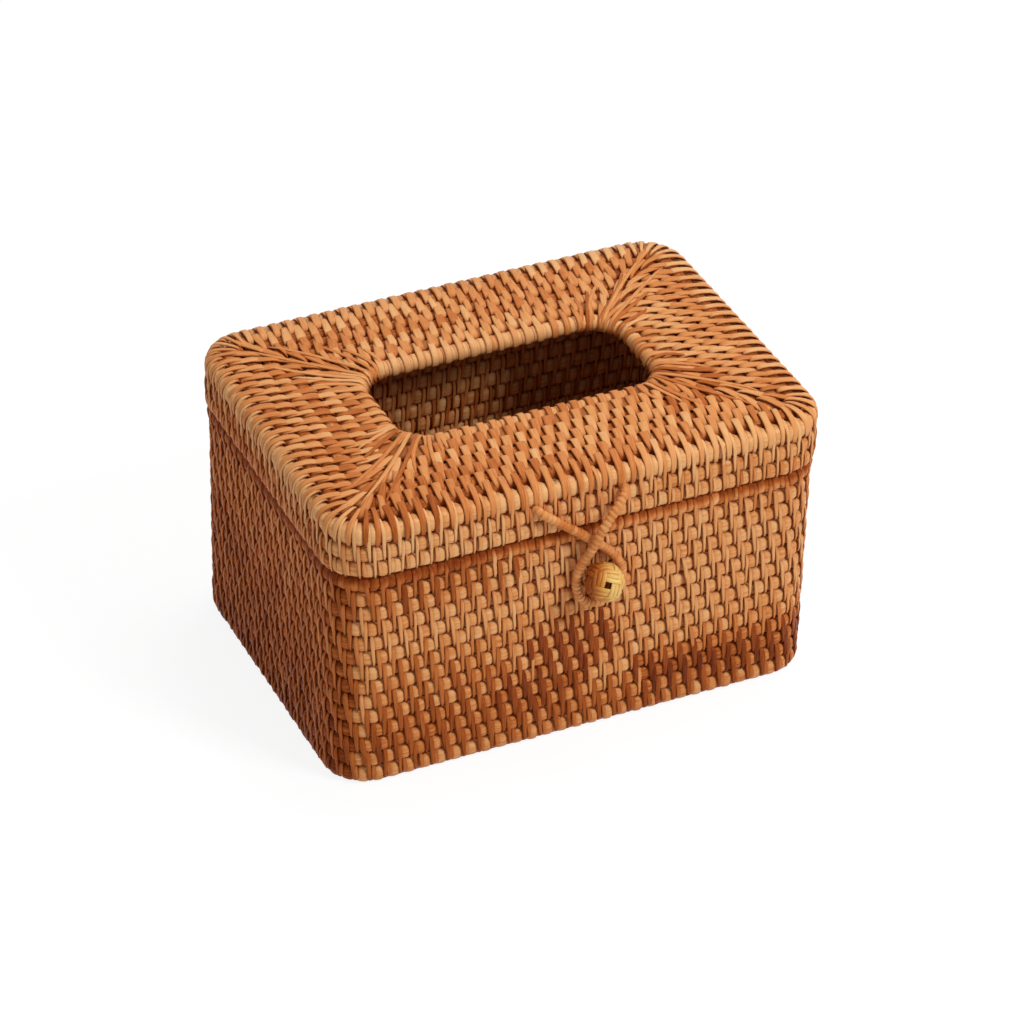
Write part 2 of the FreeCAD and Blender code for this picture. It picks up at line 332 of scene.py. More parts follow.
# %% Cord
CORD_CORE_RADIUS = 1.6 * MM
LID_FRONT = -77.5
CORD_HOLES = 119.1
CORD_ROUTE = [
    (14.8, -3.0, 0.0),
    (14.8, 2.3, 0.0),
    (11.2, 5.0, -3.2),
    (6.4, 6.5, -7.9),
    (1.6, 7.6, -14.2),
    (-1.9, 7.2, -21.6),
    (-4.7, 3.2, -30.4),
    (-6.1, 1.6, -39.0),
    (-5.2, 1.4, -46.8),
    (-1.0, 1.4, -52.4),
    (5.8, 1.4, -53.6),
    (12.2, 1.4, -49.4),
    (15.4, 1.5, -41.6),
    (13.0, 1.6, -34.0),
    (6.9, 1.9, -26.7),
    (-2.4, 2.4, -18.5),
    (-11.6, 3.4, -10.4),
    (-20.0, 4.2, -3.4),
    (-24.7, 2.3, 0.0),
    (-24.7, -3.0, 0.0),
]


def lay_cord():
    """The cord's core along its route."""
    curve = bpy.data.curves.new("closure_cord", "CURVE")
    curve.dimensions = "3D"
    spline = curve.splines.new("NURBS")
    spline.points.add(len(CORD_ROUTE) - 1)
    for point, (x, out, height) in zip(spline.points, CORD_ROUTE):
        point.co = (x * MM, (LID_FRONT - out) * MM, (CORD_HOLES + height) * MM, 1.0)
    spline.order_u = 3
    spline.use_endpoint_u = True
    curve.resolution_u = 12
    curve.bevel_depth = CORD_CORE_RADIUS
    curve.bevel_resolution = 3
    curve.use_fill_caps = True
    cord = bpy.data.objects.new("closure_cord", curve)
    bpy.context.scene.collection.objects.link(cord)
    return cord


cord = lay_cord()
cord_length = cord.data.splines[0].calc_length()
print("cord", round(cord_length / MM, 1), "mm long")

# %% [markdown]
# ## Guide lines
# Every course follows a rounded rectangle. A guide line with that plan starts in the middle of the back and
# goes round by the left, the front and the right. What is modelled once on a straight bench is repeated
# along X by an Array modifier and then bent round the line by a Curve modifier: X becomes the way along, Y
# the way in, and Z stays up.

# %% Guide lines
guide_lines = []


def guide_line(name, length, width, corner, z):
    """Closed guide line, and its length."""
    arc_steps = 12
    easing = 1.0 * MM
    plan = [(0.0, width / 2)]
    for (sign_x, sign_y), first in zip(((-1, 1), (-1, -1), (1, -1), (1, 1)), (90, 180, 270, 0)):
        centre = Vector((sign_x * (length / 2 - corner), sign_y * (width / 2 - corner)))
        arc = []
        for step in range(arc_steps + 1):
            angle = math.radians(first + 90 * step / arc_steps)
            arc.append(centre + corner * Vector((math.cos(angle), math.sin(angle))))
        way_in = Vector((-math.sin(math.radians(first)), math.cos(math.radians(first))))
        way_out = Vector((-way_in.y, way_in.x))
        plan += [arc[0] - way_in * easing, *arc, arc[-1] + way_out * easing]
    curve = bpy.data.curves.new(name, "CURVE")
    curve.dimensions = "3D"
    curve.twist_mode = "Z_UP"
    spline = curve.splines.new("POLY")
    spline.points.add(len(plan) - 1)
    for point, (x, y) in zip(spline.points, plan):
        point.co = (x, y, z, 1.0)
    spline.use_cyclic_u = True
    line = bpy.data.objects.new(name, curve)
    bpy.context.scene.collection.objects.link(line)
    guide_lines.append(line)
    places = np.array([tuple(p) for p in plan])
    total = float(np.linalg.norm(np.roll(places, -1, 0) - places, axis=1).sum())
    return line, total


def plan_of(node):
    """Length, width, bottom and top of a CAD node."""
    low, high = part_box(node)
    return high.x - low.x, high.y - low.y, low.z, high.z


WALL_CORNER = 18.0 * MM
SKIRT_CORNER = 19.5 * MM
WALL_DEPTH = 6.6 * MM
wall_length, wall_width, foot_bottom, foot_top = plan_of("foot_course")
skirt_length, skirt_width, _, skirt_middle_z = plan_of("lid_skirt_lower")
wall_line, wall_round = guide_line("wall_line", wall_length, wall_width, WALL_CORNER, 0)
skirt_line, skirt_round = guide_line("skirt_line", skirt_length, skirt_width, SKIRT_CORNER, 0)
print("round the wall", round(wall_round / MM, 1), "round the lid", round(skirt_round / MM, 1))

# %% [markdown]
# ## One splint
# A stitch is a flat strip of split cane with rounded edges. It comes up out of one groove, runs over two
# canes and goes down into the next groove, narrowing as it is pulled tight. A disc is pulled to the strip's
# section and then drawn out: extrude, move, turn and narrow, station by station. A station is a distance
# out, a height, a width and a lean.

# %% One splint
SPLINT_SECTION = [
    (1.0, 0.0),
    (0.92, 0.62),
    (0.62, 0.97),
    (-0.62, 0.97),
    (-0.92, 0.62),
    (-1.0, 0.0),
    (-0.75, -0.85),
    (0.75, -0.85),
]
SPLINT_SIDES = len(SPLINT_SECTION)
# Darkening of a splint's ends where they go into the grooves: partly stain, partly painted shade.
TUCK_STAIN_AND_SHADE = (0.9, 0.25, 0.3, 0.95)


def draw_splint(name, stations, thickness):
    """Closed strip through stations of (out, height, width, lean), in millimetres."""
    centres = [Vector((lean, -out, height)) * MM for out, height, width, lean in stations]
    widths = [width * MM for out, height, width, lean in stations]
    ways = []
    for before, after in zip([centres[0], *centres[:-1]], [*centres[1:], centres[-1]]):
        way = after - before
        ways.append(math.atan2(way.z, way.y))
    bpy.ops.object.select_all(action="DESELECT")
    bpy.ops.mesh.primitive_circle_add(vertices=SPLINT_SIDES, radius=0.5, fill_type="NGON")
    splint = bpy.context.object
    splint.name = name
    disc = points_of(splint)
    turns = np.round(np.arctan2(disc[:, 1], disc[:, 0]) / (2 * math.pi) * SPLINT_SIDES).astype(int)
    section = np.array(SPLINT_SECTION)[turns % SPLINT_SIDES]
    set_points(splint, np.c_[section * (widths[0] / 2, thickness * MM / 2), np.zeros(SPLINT_SIDES)])
    edit_all()
    first_turn = ways[0] - math.pi / 2
    bpy.ops.transform.rotate(value=-first_turn, orient_axis="X", center_override=(0, 0, 0))
    bpy.ops.transform.translate(value=centres[0])
    for number in range(1, len(stations)):
        step = centres[number] - centres[number - 1]
        bpy.ops.mesh.extrude_region_move(TRANSFORM_OT_translate={"value": step})
        turn = (ways[number] - ways[number - 1] + math.pi) % (2 * math.pi) - math.pi
        bpy.ops.transform.rotate(value=-turn, orient_axis="X", center_override=centres[number])
        narrow = widths[number] / widths[number - 1]
        bpy.ops.transform.resize(value=(narrow, 1, 1), center_override=centres[number])
    close_edit()
    places = points_of(splint).reshape(len(stations), SPLINT_SIDES, 3)
    middles = np.array([tuple(c) for c in centres])
    travelled = np.concatenate([[0], np.cumsum(np.linalg.norm(np.diff(middles, axis=0), axis=1))])
    across = (places[:, :, 0] - middles[:, None, 0]) / (np.array(widths)[:, None] / 2)
    along = np.repeat(travelled[:, None], SPLINT_SIDES, 1) / MM
    set_vectors(splint, "grain", np.stack([across, along, np.zeros_like(along)], -1).reshape(-1, 3))
    # The tucked ends, the edges and the underside take the groove colour: partly stain, partly painted shade.
    tucked = np.zeros(len(stations))
    tucked[[0, 1, -2, -1]] = TUCK_STAIN_AND_SHADE
    edge = np.where(section[:, 1] < 0, 0.8, 1.1 * np.clip(np.abs(section[:, 0]) - 0.6, 0, 1))
    set_values(splint, "stain_and_shade", np.clip(tucked[:, None] + edge, 0, 1).ravel())
    return keep_template(splint)


def flip(template, name, mirror, centre):
    """A mirrored copy of a splint."""
    splint = copy_of(template, name)
    take(splint)
    edit_all()
    bpy.ops.transform.resize(value=mirror, center_override=centre)
    close_edit()
    return keep_template(splint)


def flip_in(template, name, depth):
    """The same splint on the inner face of the wall."""
    return flip(template, name, (1, -1, 1), (0, depth / 2, 0))


def flip_under(template, name, depth):
    """The same splint on the underside of a flat panel."""
    return flip(template, name, (1, 1, -1), (0, 0, -depth / 2))


WALL_SPLINT = [
    (-1.5, 0.5, 1.2, -0.1),
    (-0.25, -0.2, 1.5, 0.0),
    (0.35, -1.4, 1.7, 0.1),
    (0.62, -3.6, 1.75, 0.25),
    (0.48, -6.1, 1.6, 0.4),
    (0.28, -7.4, 1.5, 0.5),
    (0.40, -9.2, 1.35, 0.62),
    (0.34, -11.6, 1.15, 0.8),
    (-0.1, -13.6, 0.9, 0.95),
    (-1.6, -14.9, 0.6, 1.05),
]
FOOT_SPLINT = [
    (-1.5, 0.5, 1.2, -0.1),
    (-0.25, -0.2, 1.5, 0.0),
    (0.3, -1.6, 1.75, 0.1),
    (0.5, -3.6, 1.8, 0.3),
    (0.10, -5.4, 1.75, 0.5),
    (-1.2, -6.9, 1.7, 0.6),
    (-2.9, -7.75, 1.5, 0.7),
    (-4.6, -7.5, 1.1, 0.8),
]
SPLINT_THICKNESS = 0.8
wall_splint = draw_splint("wall_splint", WALL_SPLINT, SPLINT_THICKNESS)
foot_splint = draw_splint("foot_splint", FOOT_SPLINT, SPLINT_THICKNESS)
print("splint faces", len(wall_splint.data.polygons), "foot splint faces", len(foot_splint.data.polygons))

# %% [markdown]
# ## One stitch's length of cane
# Between two stitches the bare cane swells into a little block, and under the stitches it is pinched. The
# right end of each block is rounded off at the top, where a splint of the course above goes in. One
# stitch's length is modelled from a box: its long edges are bevelled, it is cut across at a few stations,
# and each station is pinched or swelled.

# %% One stitch's length of cane
STATION_PITCH = 6.9
CANE_STATIONS = [
    (1.30, -0.42, 0.75, 0.45),
    (2.60, -0.36, 0.60, 0.40),
    (3.00, 0.02, 0.45, 0.25),
    (3.90, 0.24, 0.40, 0.20),
    (5.20, 0.30, 0.40, 0.18),
    (6.05, 0.18, 0.75, 0.18),
    (6.60, -0.12, 1.10, 0.20),
    (7.05, -0.40, 1.10, 0.38),
]


def draw_cane(name, pitch, height, bevel, pull=1.0):
    """One stitch's length of cane, open at both ends and drawn in as far as the pull says."""
    share = pitch / (STATION_PITCH * MM)
    start = CANE_STATIONS[0][0] * MM * share
    bpy.ops.object.select_all(action="DESELECT")
    bpy.ops.mesh.primitive_cube_add(size=1)
    cane = bpy.context.object
    cane.name = name
    middle = Vector((start + pitch / 2, WALL_DEPTH / 2, -height / 2))
    edit_all()
    bpy.ops.transform.resize(value=(pitch, WALL_DEPTH, height), center_override=(0, 0, 0))
    bpy.ops.transform.translate(value=middle)
    mesh = bmesh.from_edit_mesh(cane.data)
    bpy.ops.mesh.select_mode(type="EDGE")
    bpy.ops.mesh.select_all(action="DESELECT")
    for edge in mesh.edges:
        edge.select = abs(edge.verts[0].co.x - edge.verts[1].co.x) > pitch / 2
    bmesh.update_edit_mesh(cane.data)
    bpy.ops.mesh.bevel(offset=bevel, segments=2, profile=0.5, affect="EDGES")
    for x, out, down, up in CANE_STATIONS[1:]:
        bpy.ops.mesh.select_all(action="SELECT")
        bpy.ops.mesh.bisect(plane_co=(x * MM * share, 0, 0), plane_no=(1, 0, 0))
    rings = [(x * MM * share, out, down, up) for x, out, down, up in CANE_STATIONS]
    rings.append((start + pitch, *CANE_STATIONS[0][1:]))
    for x, *shape in rings:
        out, down, up = (pull * value for value in shape)
        pick(lambda place: abs(place.x - x) < 0.01 * MM)
        swell = (WALL_DEPTH + 2 * out * MM) / WALL_DEPTH
        squeeze = (height - (down + up) * MM) / height
        centre = Vector((x, WALL_DEPTH / 2, -height / 2))
        bpy.ops.transform.resize(value=(1, swell, squeeze), center_override=centre)
        bpy.ops.transform.translate(value=(0, 0, (up - down) / 2 * MM))
    open_ends()
    bpy.ops.object.mode_set(mode="OBJECT")
    return keep_template(cane)


WALL_STITCHES = 102
wall_pitch = wall_round / WALL_STITCHES
wall_course_low, wall_course_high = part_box("wall_course_01")
course_height = wall_course_high.z - wall_course_low.z
wall_cane = draw_cane("wall_cane", wall_pitch, course_height, 1.9 * MM)
foot_cane = draw_cane("foot_cane", wall_pitch, foot_top - foot_bottom, 2.6 * MM)
print("wall pitch", round(wall_pitch / MM, 3), "cane faces", len(wall_cane.data.polygons))

# %% [markdown]
# ## Tone of each stitch
# One length of splint makes ten or twenty stitches before the next is let in, so colour changes in runs
# along a course. On the front a few dark lengths lie together, low on the right and across the middle. The
# left side is darker all over, as painted shade, and darker towards the bottom. Every run and every small
# difference between stitches comes from a seeded generator.

# %% Tone of each stitch
FRONT_SIDE = -66
LEFT_SIDE = -99
LEFT_FACE = -104
WALL_TONE = 0.24
FRONT_RUNS = {
    12: [(-110, -26, 0.66)],
    11: [(-96, -36, 0.46)],
    8: [(-98, -60, 0.42)],
    7: [(-92, -42, 0.52), (-26, 12, 0.84)],
    6: [(-98, -36, 0.54), (-28, 13, 0.80), (22, 98, 0.18)],
    5: [(-94, -28, 0.60), (-22, 14, 0.78), (16, 100, 0.24)],
    4: [(-102, -36, 0.68), (-36, 6, 0.84), (26, 100, 0.44)],
    3: [(-94, -38, 0.70), (-38, 0, 0.82), (24, 110, 0.82)],
    2: [(-104, 22, 0.72), (28, 110, 0.94)],
    1: [(-104, 20, 0.68), (20, 110, 0.76)],
    0: [(-104, 110, 0.56)],
}


def run_tones(count, chance, middle, spread):
    """Tones in runs along a course of that many stitches."""
    tones = []
    while len(tones) < count:
        run = int(chance.integers(7, 21))
        tones += [middle + spread * chance.standard_normal()] * run
    return np.array(tones[:count])


def wall_tones(places, course, chance):
    """Tone of each stitch or block of a wall course from where it is."""
    tones = run_tones(len(places), chance, WALL_TONE, 0.10)
    # On the left side the tone is painted shade, darker towards the foot.
    shaded_left_tone = 0.74 - 0.026 * course
    for number, (x, y) in enumerate(places[:, :2] / MM):
        if x < LEFT_SIDE:
            tones[number] = shaded_left_tone + 0.6 * (tones[number] - WALL_TONE)
        if y < FRONT_SIDE:
            for first, last, tone in FRONT_RUNS.get(course, []):
                if first < x < last:
                    tones[number] = tone
    return np.clip(tones + 0.05 * chance.standard_normal(len(places)), 0.02, 1.0)


print("front runs", sum(len(runs) for runs in FRONT_RUNS.values()))

# %% [markdown]
# ## Laying a course
# A template is repeated along the bench, each copy is nudged a little, because no two stitches of a
# hand-made box are alike, and the whole strip is lifted to its height and bent round the guide line. The
# pinched canes leave small gaps between the courses, so each cane of the walls and of the lid's side gets a
# heart, a band in its middle that no light passes, coloured all dark as painted shade in those gaps.

# %% Laying a course


def corner_spread(ways, plan):
    """How much wider a flat ring is at each place along its line. It is widest at the corners."""
    length, width, corner = plan
    straight = (length / 2 - corner, width - 2 * corner, length - 2 * corner, width - 2 * corner)
    arc = corner * math.pi / 2
    spread = np.ones_like(ways)
    start = 0.0
    for run in straight:
        start += run
        angle = np.clip((ways - start) / corner, 0, math.pi / 2)
        spread = np.maximum(spread, np.cos(angle) + np.sin(angle))
        start += arc
    return spread


def lay_stitches(template, name, line, total, count, phase, lift, seed, spare=(), sway=1.0, flat_plan=None):
    """Repeat a splint round a line, but not in spare stretches. Returns it and each stitch's middle."""
    chance = np.random.default_rng(seed)
    pitch = total / count
    ways = [number * pitch for number in range(count)]
    for first, last in spare:
        ways = [way for way in ways if not first < (way + phase) % total < last]
    ways = np.array(ways)
    number = len(ways)
    piece = copy_of(template, name)
    repeat(piece, number, pitch)
    places = points_of(piece).reshape(number, -1, 3)
    grain = vectors_of(piece, "grain").reshape(number, -1, 3)
    nudge = sway * 0.22 * MM * chance.standard_normal((number, 1))
    widen = 1 + sway * 0.09 * chance.standard_normal((number, 1))
    lean = sway * 0.030 * MM * chance.standard_normal((number, 1))
    local = places[:, :, 0] - pitch * np.arange(number)[:, None]
    places[:, :, 0] = ways[:, None] + local * widen + lean * grain[:, :, 1] + nudge + phase
    places[:, :, 1] += sway * 0.05 * MM * chance.standard_normal((number, 1))
    places[:, :, 2] += lift
    if flat_plan:
        places[:, :, 1] *= corner_spread(places[:, :, 0] % total, flat_plan)
    set_points(piece, places)
    bend_round(piece, line)
    grain[:, :, 2] += 40 * chance.random((number, 1))
    set_vectors(piece, "grain", grain)
    return piece, points_of(piece).reshape(number, -1, 3).mean(1)


def tone_stitches(piece, tones):
    """One tone for all the points of each stitch."""
    each = len(piece.data.vertices) // len(tones)
    set_values(piece, "tone", np.repeat(tones, each))


def widen_stitches(piece, factors):
    """Make each stitch wider or narrower by its own factor."""
    places = points_of(piece).reshape(len(factors), -1, SPLINT_SIDES, 3)
    across = vectors_of(piece, "grain")[:, 0].reshape(places.shape[:3])
    sides = [int(pick_side(across[0, 0])) for pick_side in (np.argmax, np.argmin)]
    width = places[:, :, sides[0]] - places[:, :, sides[1]]
    places += (factors[:, None, None, None] - 1) * across[..., None] * width[:, :, None] / 2
    set_points(piece, places)


NOTCH_DEPTH = 2.7 * MM


def lay_cane(template, name, line, total, count, phase, lift, seed, notches=(), flat_plan=None):
    """Repeat a stitch's length of cane round a line. Returns it and the number of each point's block."""
    chance = np.random.default_rng(seed)
    pitch = total / count
    piece = copy_of(template, name)
    bench = points_of(piece)
    bench[:, 0] *= pitch / (bench[:, 0].max() - bench[:, 0].min())
    set_points(piece, bench)
    repeat(piece, count, pitch, **WELD)
    places = points_of(piece)
    start = CANE_STATIONS[0][0] * MM * pitch / (STATION_PITCH * MM)
    block = np.clip(((places[:, 0] - start) / pitch).astype(int), 0, count - 1)
    share = (places[:, 0] - start) / pitch - block
    stations = np.array(CANE_STATIONS)
    station_share = (stations[:, 0] - stations[0, 0]) / STATION_PITCH
    out = np.interp(share, np.append(station_share, 1.0), np.append(stations[:, 1], stations[0, 1]))
    swell = np.clip(out + 0.2, 0, None) * 0.35 * chance.standard_normal(count)[block] * MM
    away = np.sign(places[:, 1] - WALL_DEPTH / 2)
    places[:, 1] += away * swell
    height = bench[:, 2].max() - bench[:, 2].min()
    half = height / 2
    # The pinched parts take the groove colour, partly stain and partly painted shade, and the top and bottom
    # edges get painted shade between the rows.
    row_gap_shade = 2.5 * np.clip(np.abs(places[:, 2] - bench[:, 2].max() + half) / half - 0.8, 0, 1)
    set_values(piece, "stain_and_shade", np.clip((0.12 - out) / 0.8 + row_gap_shade, 0, 1))
    girth = (places[:, 2] - 0.7 * places[:, 1]) / MM
    set_vectors(piece, "grain", np.stack([places[:, 0] / MM, girth, 40 * chance.random(count)[block]], -1))
    places[:, 0] += phase
    for first, last in notches:
        inside = (places[:, 0] % total > first) & (places[:, 0] % total < last)
        places[inside, 2] = np.minimum(places[inside, 2], -NOTCH_DEPTH)
    if flat_plan:
        inward = places[:, 2] + height
        places[:, 2] = -places[:, 1]
        places[:, 1] = inward * corner_spread(places[:, 0] % total, flat_plan)
    places[:, 2] += lift
    set_points(piece, places)
    bend_round(piece, line)
    return piece, block


def block_middles(piece, block):
    """Middle of each block of a cane."""
    places = points_of(piece)
    counts = np.bincount(block)
    return np.stack([np.bincount(block, places[:, axis]) / counts for axis in range(3)], -1)


def close_seam(piece):
    """Weld the two ends of a cane where it comes back to its start."""
    take(piece)
    edit_all()
    bpy.ops.mesh.remove_doubles(threshold=WELD["merge_threshold"])
    close_edit()


HEART_DEPTH = 2.4 * MM
HEART_STEPS = 120


def lay_heart(line, total, top, height):
    """Heart of a cane, which closes the gaps to the courses above and below."""
    step = total / HEART_STEPS
    bpy.ops.object.select_all(action="DESELECT")
    bpy.ops.mesh.primitive_cube_add(size=1)
    heart = bpy.context.object
    corners = points_of(heart) + (0.5, 0, -0.5)
    set_points(heart, corners * (step, HEART_DEPTH, height) + (0, WALL_DEPTH / 2, top))
    bpy.ops.object.mode_set(mode="EDIT")
    open_ends()
    bpy.ops.object.mode_set(mode="OBJECT")
    repeat(heart, HEART_STEPS, step, **WELD)
    bend_round(heart, line)
    close_seam(heart)
    # The heart is coloured all dark: painted shade in the gaps between courses.
    set_values(heart, "stain_and_shade", np.ones(len(heart.data.vertices)))
    return heart


def join(pieces, name):
    """Several pieces made into one."""
    take(pieces[0])
    for piece in pieces:
        piece.select_set(True)
    if len(pieces) > 1:
        bpy.ops.object.join()
    pieces[0].name = name
    pieces[0].data.name = name
    return pieces[0]


def dress(piece, finish, body, slot, *nodes):
    """Give a finished piece its material, the body that it rides on and the nodes that it stands for."""
    piece.data.materials.clear()
    piece.data.materials.append(finish)
    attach(piece, body)
    if nodes:
        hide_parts(*nodes)


print("ready to lay courses")

# %% [markdown]
# ## Walls
# Thirteen courses: the foot and twelve above it. Each has its own cane and its own stitches, outside and
# inside, and each course starts a third of a stitch further round than the one above it, which gives the
# weave its slant. The top course is notched at the back, where the lid's lashings pass, and has no stitches
# there.

# %% Walls
COURSE_SHIFT = 2.4 * MM
WALL_COURSES = 12
SPLINT_PLACE = 2.3 * MM
LASHING_ROOM = 0.8 * MM
BARE_TONE = 0.16
BARE_SHADED_LEFT_TONE = 0.84
inner_splint = flip_in(wall_splint, "inner_splint", WALL_DEPTH)
inner_foot_splint = flip_in(foot_splint, "inner_foot_splint", WALL_DEPTH)
lashing_low, lashing_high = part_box("hinge_lashing_right")


def lashing_ways(total):
    """Where the two lashings stand along a guide line, from the middle of the back."""
    first = lashing_low.x - LASHING_ROOM
    last = lashing_high.x + LASHING_ROOM
    return [(first, last), (total - last, total - first)]


def lay_wall_course(course):
    """Cane and stitches of one course, counted from the foot."""
    node = "wall_course_%02d" % course if course else "foot_course"
    low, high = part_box(node)
    chance = np.random.default_rng(500 + course)
    phase = (WALL_COURSES - course) * COURSE_SHIFT
    notches = lashing_ways(wall_round) if course == WALL_COURSES else ()
    cane, block = lay_cane(wall_cane if course else foot_cane, node + "_cane", wall_line, wall_round,
                           WALL_STITCHES, phase, high.z, 100 + course, notches)
    middles = block_middles(cane, block)
    tones = wall_tones(middles, course, chance)
    dyed = 0.75 if course < 4 else 0.35
    bare = BARE_TONE + dyed * np.clip(tones - 0.3, 0, 1) ** 1.3 + 0.06 * chance.standard_normal(len(tones))
    # Blocks on the left side get a dark tone, darker towards the foot: painted shade.
    left = middles[:, 0] < LEFT_SIDE * MM
    bare[left] = BARE_SHADED_LEFT_TONE - 0.018 * course + 0.06 * chance.standard_normal(np.count_nonzero(left))
    set_values(cane, "tone", np.clip(bare, 0.0, 1.0)[block])
    close_seam(cane)
    heart_top = high.z - (NOTCH_DEPTH if course == WALL_COURSES else 0)
    join([cane, lay_heart(wall_line, wall_round, heart_top, heart_top - low.z)], node + "_cane")
    dress(cane, cane_core_finish, "box", "core_cane", node)
    round_wall = (wall_line, wall_round, WALL_STITCHES, phase + SPLINT_PLACE, high.z)
    outer, middles = lay_stitches(wall_splint if course else foot_splint, node + "_stitches", *round_wall,
                                  200 + course, notches)
    tones = wall_tones(middles, course, np.random.default_rng(500 + course))
    tone_stitches(outer, tones)
    widen_stitches(outer, 1 + 0.4 * np.clip((tones - 0.4) / 0.4, 0, 1) * (middles[:, 0] > LEFT_FACE * MM))
    inner, middles = lay_stitches(inner_splint if course else inner_foot_splint, node + "_inner", *round_wall,
                                  300 + course, notches)
    tone_stitches(inner, run_tones(len(middles), chance, 0.36, 0.10))
    stitches = join([outer, inner], node + "_stitches")
    dress(stitches, splint_finish, "box", "core_cane")


for course in range(WALL_COURSES + 1):
    lay_wall_course(course)
print("wall courses", WALL_COURSES + 1, "stitches each way round", WALL_STITCHES)

# %% [markdown]
# ## One wrap
# The rim, the edge of the slot and the cord are wound all over with splint, turn beside turn. One turn is a
# short barrel, narrower at its ends by as much as its waist says, drawn out of a disc that stands across
# the bench.

# %% One wrap
WRAP_SIDES = 12
WRAP_PROFILE = [(-0.50, 0.86), (-0.38, 0.965), (0.0, 1.0), (0.38, 0.965), (0.50, 0.86)]


def draw_wrap(name, length, half_depth, half_height, slant, waist=1.0):
    """One turn of splint round a cane, closed at both ends and turned across it by the slant."""
    profile = [(place, 1 - waist * (1 - share)) for place, share in WRAP_PROFILE]
    bpy.ops.object.select_all(action="DESELECT")
    bpy.ops.mesh.primitive_circle_add(vertices=WRAP_SIDES, radius=1.0, fill_type="NGON")
    wrap = bpy.context.object
    wrap.name = name
    place, share = profile[0]
    edit_all()
    bpy.ops.transform.rotate(value=math.pi / 2, orient_axis="Y", center_override=(0, 0, 0))
    bpy.ops.transform.resize(value=(1, half_depth * share, half_height * share), center_override=(0, 0, 0))
    bpy.ops.transform.translate(value=(place * length, 0, 0))
    for (before, thin), (after, thick) in zip(profile, profile[1:]):
        bpy.ops.mesh.extrude_region_move(TRANSFORM_OT_translate={"value": ((after - before) * length, 0, 0)})
        swell = thick / thin
        bpy.ops.transform.resize(value=(1, swell, swell), center_override=(after * length, 0, 0))
    close_edit()
    places = points_of(wrap)
    across = places[:, 0] / (length / 2)
    along = np.arctan2(places[:, 2], places[:, 1]) * half_depth / MM
    set_vectors(wrap, "grain", np.stack([across, along, np.zeros_like(along)], -1))
    # The ends of each turn take the groove colour: partly stain, partly painted shade between turns.
    set_values(wrap, "stain_and_shade", np.clip(np.abs(across) - 0.7, 0, 1) * 1.6)
    edit_all()
    bpy.ops.transform.rotate(value=slant, orient_axis="Z", center_override=(0, 0, 0))
    bpy.ops.object.mode_set(mode="OBJECT")
    return keep_template(wrap)


rim_low, rim_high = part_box("wall_rim")
rim_middle = (rim_low.z + rim_high.z) / 2
RIM_RADIUS = (rim_high.z - rim_low.z) / 2
RIM_CORNER = 14.7 * MM
RIM_WRAPS = 192
RIM_WRAP_RADIUS = 4.28 * MM
SLIM_WRAP_RADIUS = 4.0 * MM
rim_line, rim_round = guide_line("rim_line", rim_high.x - rim_low.x - 2 * RIM_RADIUS,
                                 rim_high.y - rim_low.y - 2 * RIM_RADIUS, RIM_CORNER, rim_middle)
rim_turn = rim_round / RIM_WRAPS * 1.04
rim_wrap = draw_wrap("rim_wrap", rim_turn, RIM_WRAP_RADIUS, RIM_WRAP_RADIUS, 0.0, 1.5)
slim_wrap = draw_wrap("slim_wrap", rim_turn, SLIM_WRAP_RADIUS, SLIM_WRAP_RADIUS, 0.0)
RIM_SPLINT = [
    (-0.6, 6.9, 1.2, -0.5),
    (0.75, 5.6, 1.6, -0.4),
    (1.25, 3.7, 1.8, -0.2),
    (0.85, 1.4, 1.75, 0.0),
    (0.35, -0.4, 1.65, 0.15),
    (0.4, -2.2, 1.5, 0.3),
    (0.34, -4.6, 1.3, 0.45),
    (-0.1, -6.5, 1.0, 0.6),
    (-1.6, -7.7, 0.65, 0.7),
]
rim_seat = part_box("wall_course_12")[1].z
rim_splint = draw_splint("rim_splint", RIM_SPLINT, SPLINT_THICKNESS)
print("rim wraps", RIM_WRAPS, "each", round(rim_round / RIM_WRAPS / MM, 2))

# %% [markdown]
# ## Winding of the cord
# Turns of narrow splint, set a little across the cord, follow the cord's own curve.

# %% Winding of the cord
CORD_TURN = 2.15 * MM
CORD_WRAP_RADIUS = 2.0 * MM
CORD_SLANT = math.radians(14)
cord_wrap = draw_wrap("cord_wrap", CORD_TURN * 1.12, CORD_WRAP_RADIUS, CORD_WRAP_RADIUS, CORD_SLANT, 1.7)


def wind_cord():
    """Winding along the cord, dressed with it."""
    turns = int(cord_length / CORD_TURN)
    chance = np.random.default_rng(40)
    winding = copy_of(cord_wrap, "closure_cord_winding")
    repeat(winding, turns, cord_length / turns)
    places = points_of(winding).reshape(turns, -1, 3)
    places[:, :, 0] += cord_length / turns / 2
    places[:, :, 1:] *= 1 + 0.02 * chance.standard_normal((turns, 1, 1))
    set_points(winding, places)
    grain = vectors_of(winding, "grain").reshape(turns, -1, 3)
    grain[:, :, 2] += 40 * chance.random((turns, 1))
    set_vectors(winding, "grain", grain)
    tones = run_tones(turns, chance, 0.30, 0.08)
    tone_stitches(winding, np.clip(tones + 0.05 * chance.standard_normal(turns), 0, 1))
    bend_round(winding, cord)
    dress(winding, splint_finish, "loop", "wrapped_cord")
    dress(cord, splint_finish, "loop", "wrapped_cord", "closure_loop")
    return turns


print("turns on the cord", wind_cord())

# %% [markdown]
# ## Rim
# The wall ends in a round cane wound all over. At the back, where the lid's two lashings pass round it, the
# winding is thinner, so the lashings can turn, and beside them it is pressed close to the rim, so the lid
# can open. Stitches with their heads on the rim hold it to the wall's top course.

# %% Rim
HINGE = np.array([72.7, 99.7]) * MM
RIM_STAIN_END = -42
RIM_LEFT_SIDE = -100


